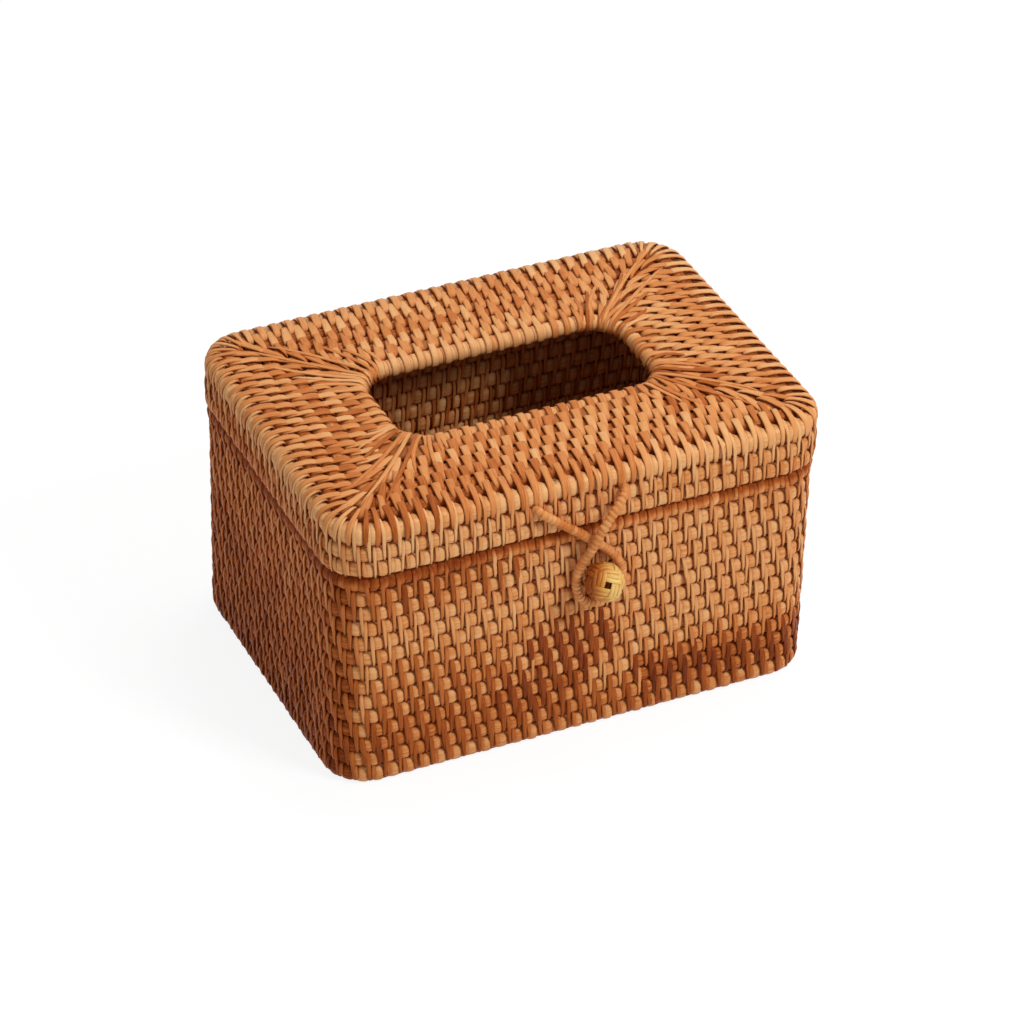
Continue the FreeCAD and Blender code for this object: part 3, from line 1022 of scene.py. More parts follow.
def press_back(piece):
    """Press the winding at the back close to the rim, so that the open lid clears it."""
    places = points_of(piece)
    away = places[:, 1:] - HINGE
    reach = np.linalg.norm(away, axis=1)
    proud = (away[:, 0] > 0) & (away[:, 1] > -5 * MM) & (reach > RIM_WRAP_RADIUS)
    places[proud, 1:] = HINGE + away[proud] * (RIM_WRAP_RADIUS / reach[proud])[:, None]
    set_points(piece, places)


def paint_lid_shadow(piece):
    """Paint the lid's shadow, as a darker tone, on the winding close under the lid."""
    tones = np.empty(len(piece.data.vertices))
    piece.data.attributes["tone"].data.foreach_get("value", tones)
    above = np.clip((points_of(piece)[:, 2] - HINGE[1] - 1.4 * MM) / (1.2 * MM), 0, 1)
    set_values(piece, "tone", np.maximum(tones, np.minimum(tones + 0.5 * above, 0.82)))


def stained_rim(middles):
    """Which turns or stitches of the rim are stained: those on the left and on the left part of the front."""
    x, y = middles[:, 0], middles[:, 1]
    return (y < FRONT_SIDE * MM) & (x < RIM_STAIN_END * MM) | (x < RIM_LEFT_SIDE * MM)


def lay_rim():
    """Winding of the rim, thinner under the lashings."""
    chance = np.random.default_rng(700)
    near = lashing_ways(rim_round)
    far = [(0.0, near[0][0]), (near[0][1], near[1][0]), (near[1][1], rim_round)]
    round_rim = (rim_line, rim_round, RIM_WRAPS, 0.0, 0.0)
    full, middles = lay_stitches(rim_wrap, "wall_rim_wraps", *round_rim, 701, near, 0.5)
    tones = run_tones(len(middles), chance, 0.36, 0.10)
    tones[stained_rim(middles)] = 0.70
    tone_stitches(full, np.clip(tones + 0.09 * chance.standard_normal(len(tones)), 0, 1))
    slim, middles = lay_stitches(slim_wrap, "rim_under_lashings", *round_rim, 702, far, 0.5)
    tone_stitches(slim, np.full(len(middles), 0.5))
    tails, middles = lay_stitches(rim_splint, "rim_tails", wall_line, wall_round, WALL_STITCHES,
                                  SPLINT_PLACE - COURSE_SHIFT, rim_seat, 703, lashing_ways(wall_round))
    tones = run_tones(len(middles), chance, 0.34, 0.10)
    tones[stained_rim(middles)] = 0.60
    tone_stitches(tails, tones)
    rim = join([full, slim, tails], "wall_rim_wraps")
    press_back(rim)
    paint_lid_shadow(rim)
    dress(rim, splint_finish, "box", "core_cane", "wall_rim")


lay_rim()
print("rim wound")

# %% [markdown]
# ## Side of the lid
# The lid's side has three courses. The upper one is the edge: its stitches start on the lid's top, roll
# over the edge and run down over the course below. The lowest course's stitches turn under it. Wider
# stitches, set between those of the edge, tie it to the first course of the top. They come last and are
# laid over the others.

# %% Side of the lid
LID_STITCHES = 116
lid_pitch = skirt_round / LID_STITCHES
LID_SHARE = lid_pitch / (STATION_PITCH * MM)
edge_low, edge_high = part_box("lid_edge_course")
edge_top = edge_high.z
EDGE_RISE = 1.7 * MM
skirt_height = edge_high.z - edge_low.z
EDGE_SPLINT = [
    (-6.6, 0.9, 1.5, -0.2),
    (-5.6, 2.0, 1.7, -0.15),
    (-4.2, 2.1, 1.8, 0.0),
    (-2.3, 1.4, 1.8, 0.1),
    (-0.75, 0.1, 1.8, 0.2),
    (0.2, -1.9, 1.75, 0.3),
    (0.45, -4.2, 1.7, 0.4),
    (0.35, -6.5, 1.6, 0.5),
    (0.15, -7.7, 1.5, 0.55),
    (0.3, -9.5, 1.35, 0.65),
    (0.25, -11.9, 1.15, 0.8),
    (-0.15, -13.8, 0.9, 0.95),
    (-1.6, -15.1, 0.6, 1.0),
]
SHOULDER_SPLINT = [
    (-13.6, 1.2, 2.6, 1.9),
    (-12.7, 2.5, 3.1, 1.75),
    (-11.2, 3.0, 3.3, 1.5),
    (-9.0, 3.1, 3.2, 1.15),
    (-6.8, 2.95, 3.05, 0.8),
    (-4.6, 2.6, 2.95, 0.5),
    (-2.5, 1.8, 2.85, 0.25),
    (-0.8, 0.45, 2.7, 0.1),
    (0.25, -1.7, 2.5, 0.0),
    (0.5, -4.0, 2.2, 0.0),
    (0.15, -6.3, 1.7, 0.05),
    (-1.4, -7.6, 1.1, 0.1),
]
HEM_SPLINT = [
    (-1.5, 0.5, 1.2, -0.1),
    (-0.25, -0.2, 1.5, 0.0),
    (0.3, -1.6, 1.65, 0.1),
    (0.5, -3.6, 1.7, 0.25),
    (0.15, -5.4, 1.65, 0.35),
    (-0.9, -6.6, 1.5, 0.4),
    (-2.4, -7.05, 1.3, 0.5),
    (-3.9, -6.9, 0.9, 0.5),
]
SKIRT_SPLINT = [(out, height * 1.03, width * 0.92, lean * 0.9) for out, height, width, lean in WALL_SPLINT]
LEFT_BLOCKS_SHADE = 0.28
SHOULDER_PLACE = 0.4 * MM
SHOULDER_RUN = (-97, 20)
SHOULDER_RUN_DARKER = 0.28
edge_splint = draw_splint("edge_splint", EDGE_SPLINT, SPLINT_THICKNESS)
shoulder_splint = draw_splint("shoulder_splint", SHOULDER_SPLINT, SPLINT_THICKNESS)
hem_splint = draw_splint("hem_splint", HEM_SPLINT, SPLINT_THICKNESS)
skirt_splint = draw_splint("skirt_splint", SKIRT_SPLINT, SPLINT_THICKNESS)
inner_hem_splint = flip_in(hem_splint, "inner_hem_splint", WALL_DEPTH)
inner_skirt_splint = flip_in(skirt_splint, "inner_skirt_splint", WALL_DEPTH)
edge_cane = draw_cane("edge_cane", lid_pitch, skirt_height + EDGE_RISE, 3.1 * MM)
skirt_cane = draw_cane("skirt_cane", lid_pitch, skirt_height, 1.9 * MM)


def lid_tones(places, chance, middle=0.30):
    """Tones of the lid's stitches or blocks: in runs, darkened as painted shade on the left side and the
    top's near half.
    """
    tones = run_tones(len(places), chance, middle, 0.11)
    # The lid's left side and the near half of its top are darkened: painted shade.
    left = (places[:, 0] < LEFT_FACE * MM) & (places[:, 2] < edge_top - skirt_height)
    tones[left] += 0.14
    flat = (places[:, 2] > edge_top) & (places[:, 0] > -101 * MM) & (places[:, 1] > -69 * MM)
    near = (places[:, 1] < -25 * MM) | (places[:, 0] < -60 * MM)
    tones[flat & near] += 0.09
    return np.clip(tones + 0.06 * chance.standard_normal(len(places)), 0.02, 1.0)


def lay_lid_course(node, row, cane_template, cane_top, outside, inside):
    """Cane and stitches of one course of the lid's side, counted down from the edge."""
    low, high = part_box(node)
    chance = np.random.default_rng(800 + row)
    phase = row * COURSE_SHIFT * LID_SHARE
    cane, block = lay_cane(cane_template, node + "_cane", skirt_line, skirt_round, LID_STITCHES, phase,
                           cane_top, 810 + row)
    middles = block_middles(cane, block)
    tones = lid_tones(middles, chance, 0.06 if row == 0 else 0.16)
    # Blocks on the lid's left side are darkened as painted shade.
    if row:
        tones[middles[:, 0] < LEFT_FACE * MM] += LEFT_BLOCKS_SHADE
    set_values(cane, "tone", tones[block])
    close_seam(cane)
    join([cane, lay_heart(skirt_line, skirt_round, high.z, high.z - low.z)], node + "_cane")
    dress(cane, cane_core_finish, "lid", "core_cane", node)
    pieces = []
    for number, template in enumerate((outside, inside)):
        if template:
            piece, middles = lay_stitches(template, node + "_stitches", skirt_line, skirt_round, LID_STITCHES,
                                          phase + SPLINT_PLACE * LID_SHARE, high.z, 820 + 10 * number + row)
            tone_stitches(piece, lid_tones(middles, chance, 0.14 if row == 0 else 0.24))
            pieces.append(piece)
    stitches = join(pieces, node + "_stitches")
    dress(stitches, splint_finish, "lid", "core_cane")


def lay_shoulder():
    """Stitches that tie the lid's edge to its top, with one stained run along the front."""
    stitches, middles = lay_stitches(shoulder_splint, "lid_shoulder_stitches", skirt_line, skirt_round,
                                     LID_STITCHES, SHOULDER_PLACE, edge_top, 840)
    tones = lid_tones(middles, np.random.default_rng(841), 0.24)
    x, y = middles[:, 0], middles[:, 1]
    stained = (y < FRONT_SIDE * MM) & (SHOULDER_RUN[0] * MM < x) & (x < SHOULDER_RUN[1] * MM)
    tones[stained] += SHOULDER_RUN_DARKER
    tone_stitches(stitches, tones)
    dress(stitches, splint_finish, "lid", "core_cane")


lay_lid_course("lid_edge_course", 0, edge_cane, edge_top + EDGE_RISE, edge_splint, None)
lay_lid_course("lid_skirt_middle", 1, skirt_cane, edge_low.z, skirt_splint, inner_skirt_splint)
lay_lid_course("lid_skirt_lower", 2, skirt_cane, skirt_middle_z, hem_splint, inner_hem_splint)
lay_shoulder()
print("stitches round the lid", LID_STITCHES, "pitch", round(lid_pitch / MM, 2))

# %% [markdown]
# ## Top of the lid
# On the top each stitch starts blunt at the slot side of its own course, arches over it and narrows over
# the next course out. Neighbouring courses are half a stitch apart. Under the stitches each course has its
# own cane, apart from the innermost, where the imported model's ring stays in sight. The slot's edge has long
# stitches from its inner side.

# %% Top of the lid
TOP_COURSES = 6
TOP_INSET = 6.6 * MM
SLOT_INSET = 48.3 * MM
CORNER_CHANGE = 45.0 * MM
TOP_STEP = 6.4 * MM
TOP_THICKNESS = 6.4 * MM
TOP_CORNER = 12.9 * MM
SLOT_CORNER = 14.5 * MM
TOP_PITCH = 6.1 * MM
TOP_SINK = 0.25 * MM
lid_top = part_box("lid_top_course_2")[1].z
TOP_SPLINT = [
    (-6.8, -1.6, 3.0, 0.95),
    (-6.15, -0.15, 3.6, 0.9),
    (-5.0, 0.5, 3.9, 0.75),
    (-3.0, 0.75, 3.8, 0.5),
    (-0.9, 0.55, 3.5, 0.15),
    (1.2, 0.3, 3.2, -0.2),
    (3.2, 0.2, 2.9, -0.55),
    (4.9, -0.15, 2.5, -0.8),
    (6.2, -1.5, 1.8, -0.95),
]
SLOT_SPLINT = [
    (-5.6, -6.2, 2.6, 0.7),
    (-6.9, -4.6, 3.0, 0.7),
    (-7.0, -2.6, 3.1, 0.7),
    (-6.2, -0.6, 3.2, 0.7),
    (-4.5, 0.55, 3.2, 0.6),
    (-2.5, 0.7, 3.1, 0.4),
    (-0.5, 0.5, 2.9, 0.1),
    (1.5, 0.3, 2.7, -0.2),
    (3.5, 0.2, 2.45, -0.55),
    (5.0, -0.15, 2.15, -0.8),
    (6.2, -1.4, 1.6, -0.95),
]
top_splint = draw_splint("top_splint", TOP_SPLINT, SPLINT_THICKNESS)
slot_splint = draw_splint("slot_splint", SLOT_SPLINT, SPLINT_THICKNESS)
under_splint = flip_under(top_splint, "under_splint", TOP_THICKNESS)
SHORT_SPLINT = [(min(out, 0.3 * out), height, width, lean) for out, height, width, lean in TOP_SPLINT]
short_splint = draw_splint("short_splint", SHORT_SPLINT, SPLINT_THICKNESS)
first_under_splint = flip_under(short_splint, "first_under_splint", TOP_THICKNESS)


def top_plan(inset):
    """Length, width and corner of the lid's top, so far in from the lid's side."""
    share = (inset - TOP_INSET) / CORNER_CHANGE
    corner = TOP_CORNER + share * (SLOT_CORNER - TOP_CORNER)
    return skirt_length - 2 * inset, skirt_width - 2 * inset, corner


def lay_top_course(number, template, under):
    """Cane and stitches of one course of the lid's top, above and below."""
    node = "lid_top_course_%d" % number if number <= TOP_COURSES else "slot_binding"
    plan = top_plan(TOP_INSET + (number - 1) * TOP_STEP)
    line, total = guide_line(node + "_line", *plan, lid_top)
    count = round(total / TOP_PITCH)
    pitch = total / count
    phase = (total / 2 + (number % 2) * pitch / 2) % pitch
    chance = np.random.default_rng(900 + number)
    if number < TOP_COURSES:
        cane_phase = phase - SPLINT_PLACE * pitch / (STATION_PITCH * MM)
        cane, block = lay_cane(top_cane, node + "_cane", line, total, count, cane_phase, -TOP_SINK,
                               970 + number, flat_plan=plan)
        # The top's bare cane, seen only in the gaps between stitches, gets a dark tone: painted shade.
        tones = lid_tones(block_middles(cane, block), chance, 0.58)
        set_values(cane, "tone", tones[block])
        close_seam(cane)
        dress(cane, cane_core_finish, "lid", "core_cane", node)
    pieces = []
    for side, splint in enumerate((template, under)):
        if splint:
            piece, middles = lay_stitches(splint, node + "_stitches", line, total, count, phase, 0.0,
                                          910 + 10 * side + number, (), 1.0, plan if number > 1 else None)
            tone_stitches(piece, lid_tones(middles, chance, 0.24))
            pieces.append(piece)
    stitches = join(pieces, node + "_stitches")
    dress(stitches, splint_finish, "lid", "core_cane")


top_cane = draw_cane("top_cane", TOP_PITCH, TOP_STEP, 1.9 * MM, 0.35)
lay_top_course(1, None, first_under_splint)
for number in range(2, TOP_COURSES + 1):
    lay_top_course(number, top_splint, under_splint)
lay_top_course(TOP_COURSES + 1, slot_splint, None)
print("courses on the top", TOP_COURSES, "and the slot's edge")

# %% [markdown]
# ## Edge of the slot
# The cane round the slot is wound all over, turn beside turn, and every second turn runs on over the next
# course.

# %% Edge of the slot
binding_low, binding_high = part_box("slot_binding")
SLOT_WRAPS = 120
BINDING_HALF = 3.3 * MM
BINDING_WRAP_HALF = 3.55 * MM
BINDING_PROUD = 0.2 * MM
slot_length, slot_width, _ = top_plan(SLOT_INSET)
slot_line, slot_round = guide_line("slot_line", slot_length, slot_width, SLOT_CORNER + BINDING_HALF,
                                   (binding_low.z + binding_high.z) / 2)
slot_wrap = draw_wrap("slot_wrap", slot_round / SLOT_WRAPS * 1.05, BINDING_WRAP_HALF,
                      (binding_high.z - binding_low.z) / 2 + BINDING_PROUD, 0.0, 0.5)
slot_winding, slot_middles = lay_stitches(slot_wrap, "slot_binding_wraps", slot_line, slot_round, SLOT_WRAPS,
                                          0.0, 0.0, 950, (), 0.4)
tone_stitches(slot_winding, lid_tones(slot_middles, np.random.default_rng(951), 0.18))
dress(slot_winding, splint_finish, "lid", "core_cane", "slot_binding")
print("turns round the slot", SLOT_WRAPS)

# %% [markdown]
# ## Long splints at the corners
# The courses of the top turn square corners, and there the maker laid long splints from the slot's corner
# outwards, over the other stitches. A few reach the lid's corner and the rest stop on the way. One long
# splint is drawn straight and each copy is cut to length, bowed a little and turned to its own direction.

# %% Long splints at the corners
FAN_LENGTH = 58.0
FAN_BEND = 6.0
FAN_SPLINT = [
    (-1.0, -4.6, 1.5, 0.0),
    (0.1, -2.4, 1.8, 0.0),
    (1.2, -0.5, 1.9, 0.0),
    (3.2, 0.75, 1.95, 0.0),
    (FAN_BEND, 1.05, 1.95, 0.0),
    (14.0, 1.0, 1.9, 0.0),
    (24.0, 0.95, 1.85, 0.0),
    (34.0, 0.9, 1.75, 0.0),
    (43.0, 0.85, 1.6, 0.0),
    (50.0, 0.7, 1.3, 0.0),
    (55.0, 0.1, 0.95, 0.0),
    (FAN_LENGTH, -1.3, 0.6, 0.0),
]
FAN_ANGLES = [6, 17, 27, 36, 45, 54, 63, 73, 84]
FAN_REACH = [17, 22, 30, 44, 56, 50, 31, 23, 16]
FAN_SPREAD = 0.8
fan_splint = draw_splint("fan_splint", FAN_SPLINT, SPLINT_THICKNESS)


def place_fan_splint(piece, start, end, bow):
    """Cut a long splint to length and lay it from one point to another on the lid's top."""
    places = points_of(piece)
    way = end - start
    length = way.length
    way = way / length
    aside = Vector((-way.y, way.x))
    along = -places[:, 1]
    bend = FAN_BEND * MM
    along = np.where(along > bend, bend + (along - bend) * (length - bend) / (FAN_LENGTH * MM - bend), along)
    across = places[:, 0] + bow * np.sin(np.clip(along / length, 0, 1) * math.pi)
    places[:, 0] = start.x + way.x * along + aside.x * across
    places[:, 1] = start.y + way.y * along + aside.y * across
    places[:, 2] += lid_top
    set_points(piece, places)


def lay_fans():
    """Long splints at the four corners of the slot."""
    chance = np.random.default_rng(990)
    inset = BINDING_HALF + SLOT_CORNER
    inner = Vector((slot_length / 2 - inset, slot_width / 2 - inset))
    pieces = []
    for sign_x, sign_y in ((-1, -1), (1, -1), (-1, 1), (1, 1)):
        corner = Vector((sign_x, sign_y))
        for angle, reach in zip(FAN_ANGLES, FAN_REACH):
            turn = math.radians(angle + 2.0 * chance.standard_normal())
            fan_turn = math.radians(45 + FAN_SPREAD * (angle - 45) + 2.5 * chance.standard_normal())
            start = inner + SLOT_CORNER * Vector((math.cos(turn), math.sin(turn)))
            length = min(reach * (1 + 0.08 * chance.standard_normal()), FAN_LENGTH) * MM
            end = start + length * Vector((math.cos(fan_turn), math.sin(fan_turn)))
            piece = copy_of(fan_splint, "corner_splint")
            place_fan_splint(piece, start * corner, end * corner, 1.0 * MM * chance.standard_normal())
            grain = vectors_of(piece, "grain")
            grain[:, 2] += 40 * chance.random()
            set_vectors(piece, "grain", grain)
            tone = np.clip(0.30 + 0.16 * chance.standard_normal(), 0.05, 0.75)
            set_values(piece, "tone", np.full(len(grain), tone))
            pieces.append(piece)
    fans = join(pieces, "lid_corner_splints")
    dress(fans, splint_finish, "lid", "core_cane")
    return len(pieces)


print("long corner splints", lay_fans())

# %% [markdown]
# ## Ball
# The button is a hollow ball plaited of six bands, two square to each axis, and each band is three strands
# of splint. Bands pass over and under one another and leave a small square hole on each axis. A strand
# starts as a ring, is laid on the ball as a flat strip, and is then raised where it passes over and lowered
# where it passes under.

# %% Ball
ball_low, ball_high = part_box("button_ball")
ball_centre = (ball_low + ball_high) / 2
BALL_RADIUS = (ball_high.z - ball_low.z) / 2
BAND_OFFSET = 3.85 * MM
STRAND_STEP = 1.62 * MM
STRAND_HALF_WIDTH = 0.94 * MM
STRAND_HALF_THICKNESS = 0.40 * MM
BALL_SWING = 0.36 * MM
CROSSING_HALF = 14.2
HOLE_WAY = Vector((-0.21, -0.89, 0.41)).normalized()
BALL_ROLL = math.radians(20)
BALL_RIGHT = np.array([0.90, -0.44, 0.0])
STRAND_STEPS = 64
STRAND_SIDES = 8
BALL_RAMP = [
    (0.00, (0.900, 0.600, 0.190)),
    (0.30, (0.800, 0.400, 0.085)),
    (0.60, (0.560, 0.170, 0.022)),
    (1.00, (0.280, 0.050, 0.006)),
]
ball_finish = cane_finish("ball_splint", BALL_RAMP, 0.25, (2.0, 0.12, 1.0), 0.42, 0.25)


def over_under(angle, side):
    """Plus one where a strand passes over, minus one where it passes under, and smooth between."""
    away = np.degrees(angle) % 90 - 45
    near = -np.sin(away * math.pi / (2 * CROSSING_HALF))
    far = -np.sign(away) * np.cos((np.abs(away) - CROSSING_HALF) / (45 - CROSSING_HALF) * math.pi / 2)
    return side * np.where(np.abs(away) < CROSSING_HALF, near, far)


def draw_strand(axes, axis, side, shift):
    """One strand of one band of the ball."""
    offset = side * BAND_OFFSET + shift
    surface = BALL_RADIUS - BALL_SWING - STRAND_HALF_THICKNESS
    ring = math.sqrt(surface ** 2 - offset ** 2)
    bpy.ops.object.select_all(action="DESELECT")
    bpy.ops.mesh.primitive_torus_add(major_segments=STRAND_STEPS, minor_segments=STRAND_SIDES,
                                     major_radius=ring, minor_radius=STRAND_HALF_THICKNESS)
    strand = bpy.context.object
    places = points_of(strand)
    angle = np.arctan2(places[:, 1], places[:, 0])
    round_section = np.arctan2(places[:, 2], np.hypot(places[:, 0], places[:, 1]) - ring)
    tilt = math.asin(offset / surface)
    flat = np.sign(np.cos(round_section)) * np.abs(np.cos(round_section)) ** 0.5
    height = STRAND_HALF_THICKNESS * flat + surface + BALL_SWING * over_under(angle, side)
    across = STRAND_HALF_WIDTH * np.sign(np.sin(round_section)) * np.abs(np.sin(round_section)) ** 0.7
    radius = height * math.cos(tilt) - across * math.sin(tilt)
    up = height * math.sin(tilt) + across * math.cos(tilt)
    first = np.array(axes[(axis + 1) % 3])
    second = np.array(axes[(axis + 2) % 3])
    third = np.array(axes[axis])
    laid = np.outer(radius * np.cos(angle), first) + np.outer(radius * np.sin(angle), second)
    laid += np.outer(up, third)
    set_points(strand, laid + np.array(ball_centre))
    share = across / STRAND_HALF_WIDTH
    set_vectors(strand, "grain", np.stack([share, angle * ring / MM, np.full_like(angle, offset / MM)], -1))
    # The edges of each strand take the groove colour: partly stain, partly painted shade between strands.
    set_values(strand, "stain_and_shade", np.clip(np.abs(share) - 0.85, 0, 1) * 1.8)
    take(strand)
    bpy.ops.object.shade_smooth()
    return strand


def plait_ball():
    """All the strands of the ball in one piece."""
    chance = np.random.default_rng(60)
    side_way = HOLE_WAY.cross(Vector((0, 0, 1))).normalized()
    rise_way = side_way.cross(HOLE_WAY)
    second = math.cos(BALL_ROLL) * side_way + math.sin(BALL_ROLL) * rise_way
    axes = [HOLE_WAY, second, HOLE_WAY.cross(second)]
    strands = []
    for axis in range(3):
        for side in (-1, 1):
            middle = 0.02 + 0.10 * chance.random()
            for shift in (-STRAND_STEP, 0, STRAND_STEP):
                strand = draw_strand(axes, axis, side, shift)
                # Strands are darker towards the ball's left: partly stain, partly painted shade.
                left = -(points_of(strand) - np.array(ball_centre)) @ BALL_RIGHT / BALL_RADIUS
                stained = 0.75 * np.clip(left + 0.35, 0, 1)
                set_values(strand, "tone", middle + stained + 0.04 * chance.standard_normal())
                strands.append(strand)
    ball = join(strands, "button_ball_plait")
    dress(ball, ball_finish, "box", "button_splint", "button_ball")
    return len(strands)


print("strands in the ball", plait_ball())

# %% [markdown]
# ## Lashings of the hinge
# At the back the lid hangs on two lashings: four turns of splint each, round the rim and over the lowest
# cane of the lid's side. One turn is drawn through stations round that loop and repeated beside itself.

# %% Lashings of the hinge
LASHING_TURNS = 4
LASHING_THICKNESS = 0.9
LASHING_WIDTH = 2.1
LASHING_END_WIDTH = 2.0
LASHING_PATH = [
    (1.0, 12.35), (2.15, 11.8), (2.3, 10.0), (2.3, 7.0), (2.5, 4.6), (3.9, 3.0), (4.7, 1.4),
    (4.9, -0.3), (4.4, -2.2), (3.0, -3.9), (1.0, -4.8), (-1.0, -4.8), (-3.0, -3.9), (-4.4, -2.2),
    (-4.9, -0.3), (-4.95, 3.0), (-4.95, 7.0), (-4.95, 11.2), (-4.2, 12.3), (-2.0, 12.45), (0.4, 12.4),
]
LASHING_LOOP = [(out, height, LASHING_WIDTH, 0.0) for out, height in LASHING_PATH]
LASHING_LOOP[0] = (*LASHING_PATH[0], LASHING_END_WIDTH, 0.0)
LASHING_LOOP[-1] = (*LASHING_PATH[-1], LASHING_END_WIDTH, 0.0)
lashing_turn = draw_splint("lashing_turn", LASHING_LOOP, LASHING_THICKNESS)


def tie_lashing(node):
    """Turns of splint round the rim and the lid's lowest cane."""
    low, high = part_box(node)
    step = (high.x - low.x) / LASHING_TURNS
    piece = copy_of(lashing_turn, node + "_turns")
    repeat(piece, LASHING_TURNS, step)
    set_points(piece, points_of(piece) + np.array([low.x + step / 2, HINGE[0], rim_middle]))
    tone_stitches(piece, np.linspace(0.30, 0.45, LASHING_TURNS))
    dress(piece, splint_finish, "lid", "lashing_splint", node)


tie_lashing("hinge_lashing_left")
tie_lashing("hinge_lashing_right")
print("turns in each lashing", LASHING_TURNS)

# %% [markdown]
# ## Base
# The base is coiled like the lid's top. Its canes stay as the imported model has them, and stitches lie on
# them inside and, pressed flat, underneath. They get a plain cane finish, and so do the two other solids
# that stay in sight, the button's tail and the innermost ring of the lid's top.

# %% Base
BASE_COURSES = 9
BASE_STEP = 7.322
BASE_INSET = 6.6
BASE_CORE_CORNER = 2.6
FLAT_THICKNESS = 0.5
base_low, base_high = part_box("base_course_1")
base_thickness = base_high.z - base_low.z
BASE_SHARE = BASE_STEP * MM / TOP_STEP
BASE_SPLINT = [(out * BASE_SHARE, height * 0.5, width, lean) for out, height, width, lean in TOP_SPLINT]
FLAT_SPLINT = [(out * BASE_SHARE, min(height, 0.0), width, lean) for out, height, width, lean in TOP_SPLINT]
base_splint = draw_splint("base_splint", BASE_SPLINT, SPLINT_THICKNESS)
flat_splint = draw_splint("flat_splint", FLAT_SPLINT, FLAT_THICKNESS)
sole_splint = flip_under(flat_splint, "sole_splint", base_thickness)


def plain_cane():
    """Cane without stitches, for the solids that stay in sight."""
    material = bpy.data.materials.new("plain_cane")
    material.use_nodes = True
    tree = material.node_tree
    shader = tree.nodes["Principled BSDF"]
    place = tree.nodes.new("ShaderNodeTexCoord")
    mottle = tree.nodes.new("ShaderNodeTexNoise")
    mottle.inputs["Scale"].default_value = 180.0
    wire(tree, place.outputs["Object"], mottle.inputs["Vector"])
    ramp = tree.nodes.new("ShaderNodeValToRGB")
    ramp.color_ramp.elements[0].color = (0.32, 0.09, 0.02, 1)
    ramp.color_ramp.elements[1].color = (0.54, 0.19, 0.05, 1)
    wire(tree, mottle.outputs["Fac"], ramp.inputs["Fac"])
    wire(tree, ramp.outputs["Color"], shader.inputs["Base Color"])
    shader.inputs["Roughness"].default_value = 0.55
    shader.inputs["Specular IOR Level"].default_value = 0.12
    return material


def lay_base_course(number):
    """Stitches of one course of the base, inside and underneath."""
    inset = (BASE_INSET + (number - 1) * BASE_STEP) * MM
    plan = (wall_length - 2 * inset, wall_width - 2 * inset, max(WALL_CORNER - inset, BASE_CORE_CORNER * MM))
    name = "base_course_%d_stitches" % number
    line, total = guide_line(name + "_line", *plan, base_high.z)
    count = round(total / wall_pitch)
    chance = np.random.default_rng(1000 + number)
    pieces = []
    for side, splint in enumerate((base_splint, sole_splint)):
        piece, middles = lay_stitches(splint, name, line, total, count, (number % 2) * wall_pitch / 2, 0.0,
                                      1010 + 10 * side + number)
        tone_stitches(piece, run_tones(len(middles), chance, 0.40, 0.12))
        pieces.append(piece)
    stitches = join(pieces, name)
    dress(stitches, splint_finish, "box", "core_cane")


for number in range(2, BASE_COURSES + 1):
    lay_base_course(number)
solid_cane = plain_cane()
plain_nodes = ["base_core", "button_tie", "lid_top_course_6"]
plain_nodes += ["base_course_%d" % number for number in range(1, BASE_COURSES + 1)]
for node in plain_nodes:
    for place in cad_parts[node].material_slots:
        place.material = solid_cane
print("base courses stitched", BASE_COURSES - 1)

# %% [markdown]
# ## Light and floor
# A soft lamp at the front right, one overhead, a weak one at the left and a pale world stand for a studio.
# The floor is white to the camera and still takes the box's shadow.

# %% Light and floor
FLOOR_DROP = 0.4 * MM
FLOOR_GLOW = 1.12
FLOOR_WHITE = 0.78
WORLD_LIGHT = 0.30
LAMP_AIM = Vector((0, 0, 0.06))


def soft_lamp(name, place, size, watts):
    """Square area lamp that points at the box."""
    bpy.ops.object.light_add(type="AREA", location=place)
    lamp = bpy.context.object
    lamp.name = name
    lamp.data.shape = "SQUARE"
    lamp.data.size = size
    lamp.data.energy = watts
    lamp.rotation_euler = (LAMP_AIM - Vector(place)).to_track_quat("-Z", "Y").to_euler()


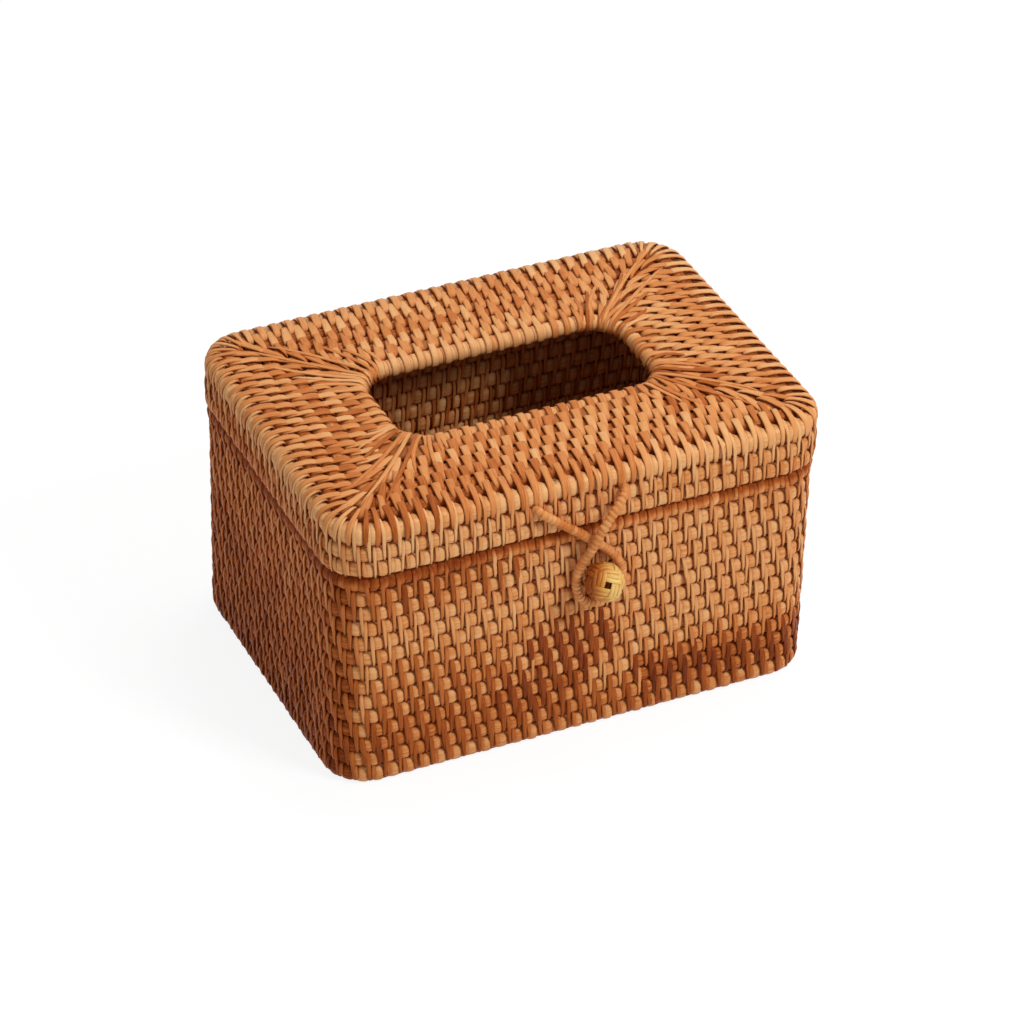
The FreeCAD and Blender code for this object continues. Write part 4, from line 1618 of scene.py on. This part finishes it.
def seen_directly(tree):
    """One for what the camera sees, straight or by reflection, and nought for other light."""
    path = tree.nodes.new("ShaderNodeLightPath")
    first = maths(tree, "MAXIMUM", path.outputs["Is Camera Ray"], path.outputs["Is Glossy Ray"])
    return maths(tree, "MAXIMUM", first, path.outputs["Is Transmission Ray"])


def light_world(strength):
    """Even sky that is white to the camera and dimmer as light."""
    world = bpy.data.worlds.new("studio")
    world.use_nodes = True
    tree = world.node_tree
    background = tree.nodes["Background"]
    background.inputs["Color"].default_value = (1, 1, 1, 1)
    seen = seen_directly(tree)
    level = maths(tree, "ADD", maths(tree, "MULTIPLY", seen, 1 - strength), strength)
    wire(tree, level, background.inputs["Strength"])
    bpy.context.scene.world = world


def lay_floor():
    """Wide pale floor."""
    bpy.ops.object.select_all(action="DESELECT")
    bpy.ops.mesh.primitive_plane_add(size=8, location=(0, 0, -FLOOR_DROP))
    floor = bpy.context.object
    floor.name = "floor"
    material = bpy.data.materials.new("pale_floor")
    material.use_nodes = True
    tree = material.node_tree
    matt = tree.nodes["Principled BSDF"]
    matt.inputs["Base Color"].default_value = (0.86, 0.86, 0.86, 1)
    matt.inputs["Roughness"].default_value = 0.9
    glow = tree.nodes.new("ShaderNodeEmission")
    glow.inputs["Strength"].default_value = FLOOR_GLOW
    blend = tree.nodes.new("ShaderNodeMixShader")
    wire(tree, maths(tree, "MULTIPLY", seen_directly(tree), FLOOR_WHITE), blend.inputs["Fac"])
    wire(tree, matt.outputs["BSDF"], blend.inputs[1])
    wire(tree, glow.outputs["Emission"], blend.inputs[2])
    wire(tree, blend.outputs["Shader"], tree.nodes["Material Output"].inputs["Surface"])
    floor.data.materials.append(material)


soft_lamp("key_lamp", (0.70, -1.08, 1.36), 0.5, 15.0)
soft_lamp("top_lamp", (0.40, 0.30, 1.70), 0.8, 10.0)
soft_lamp("fill_lamp", (-1.2, -0.6, 0.9), 1.0, 1.2)
light_world(WORLD_LIGHT)
lay_floor()
bpy.context.scene.view_settings.view_transform = "Standard"

# %% [markdown]
# ## Hand over
# The guide lines and the templates have done their work and are removed.

# %% Hand over
for line in guide_lines:
    bpy.data.objects.remove(line)
for template in templates:
    bpy.data.objects.remove(template)
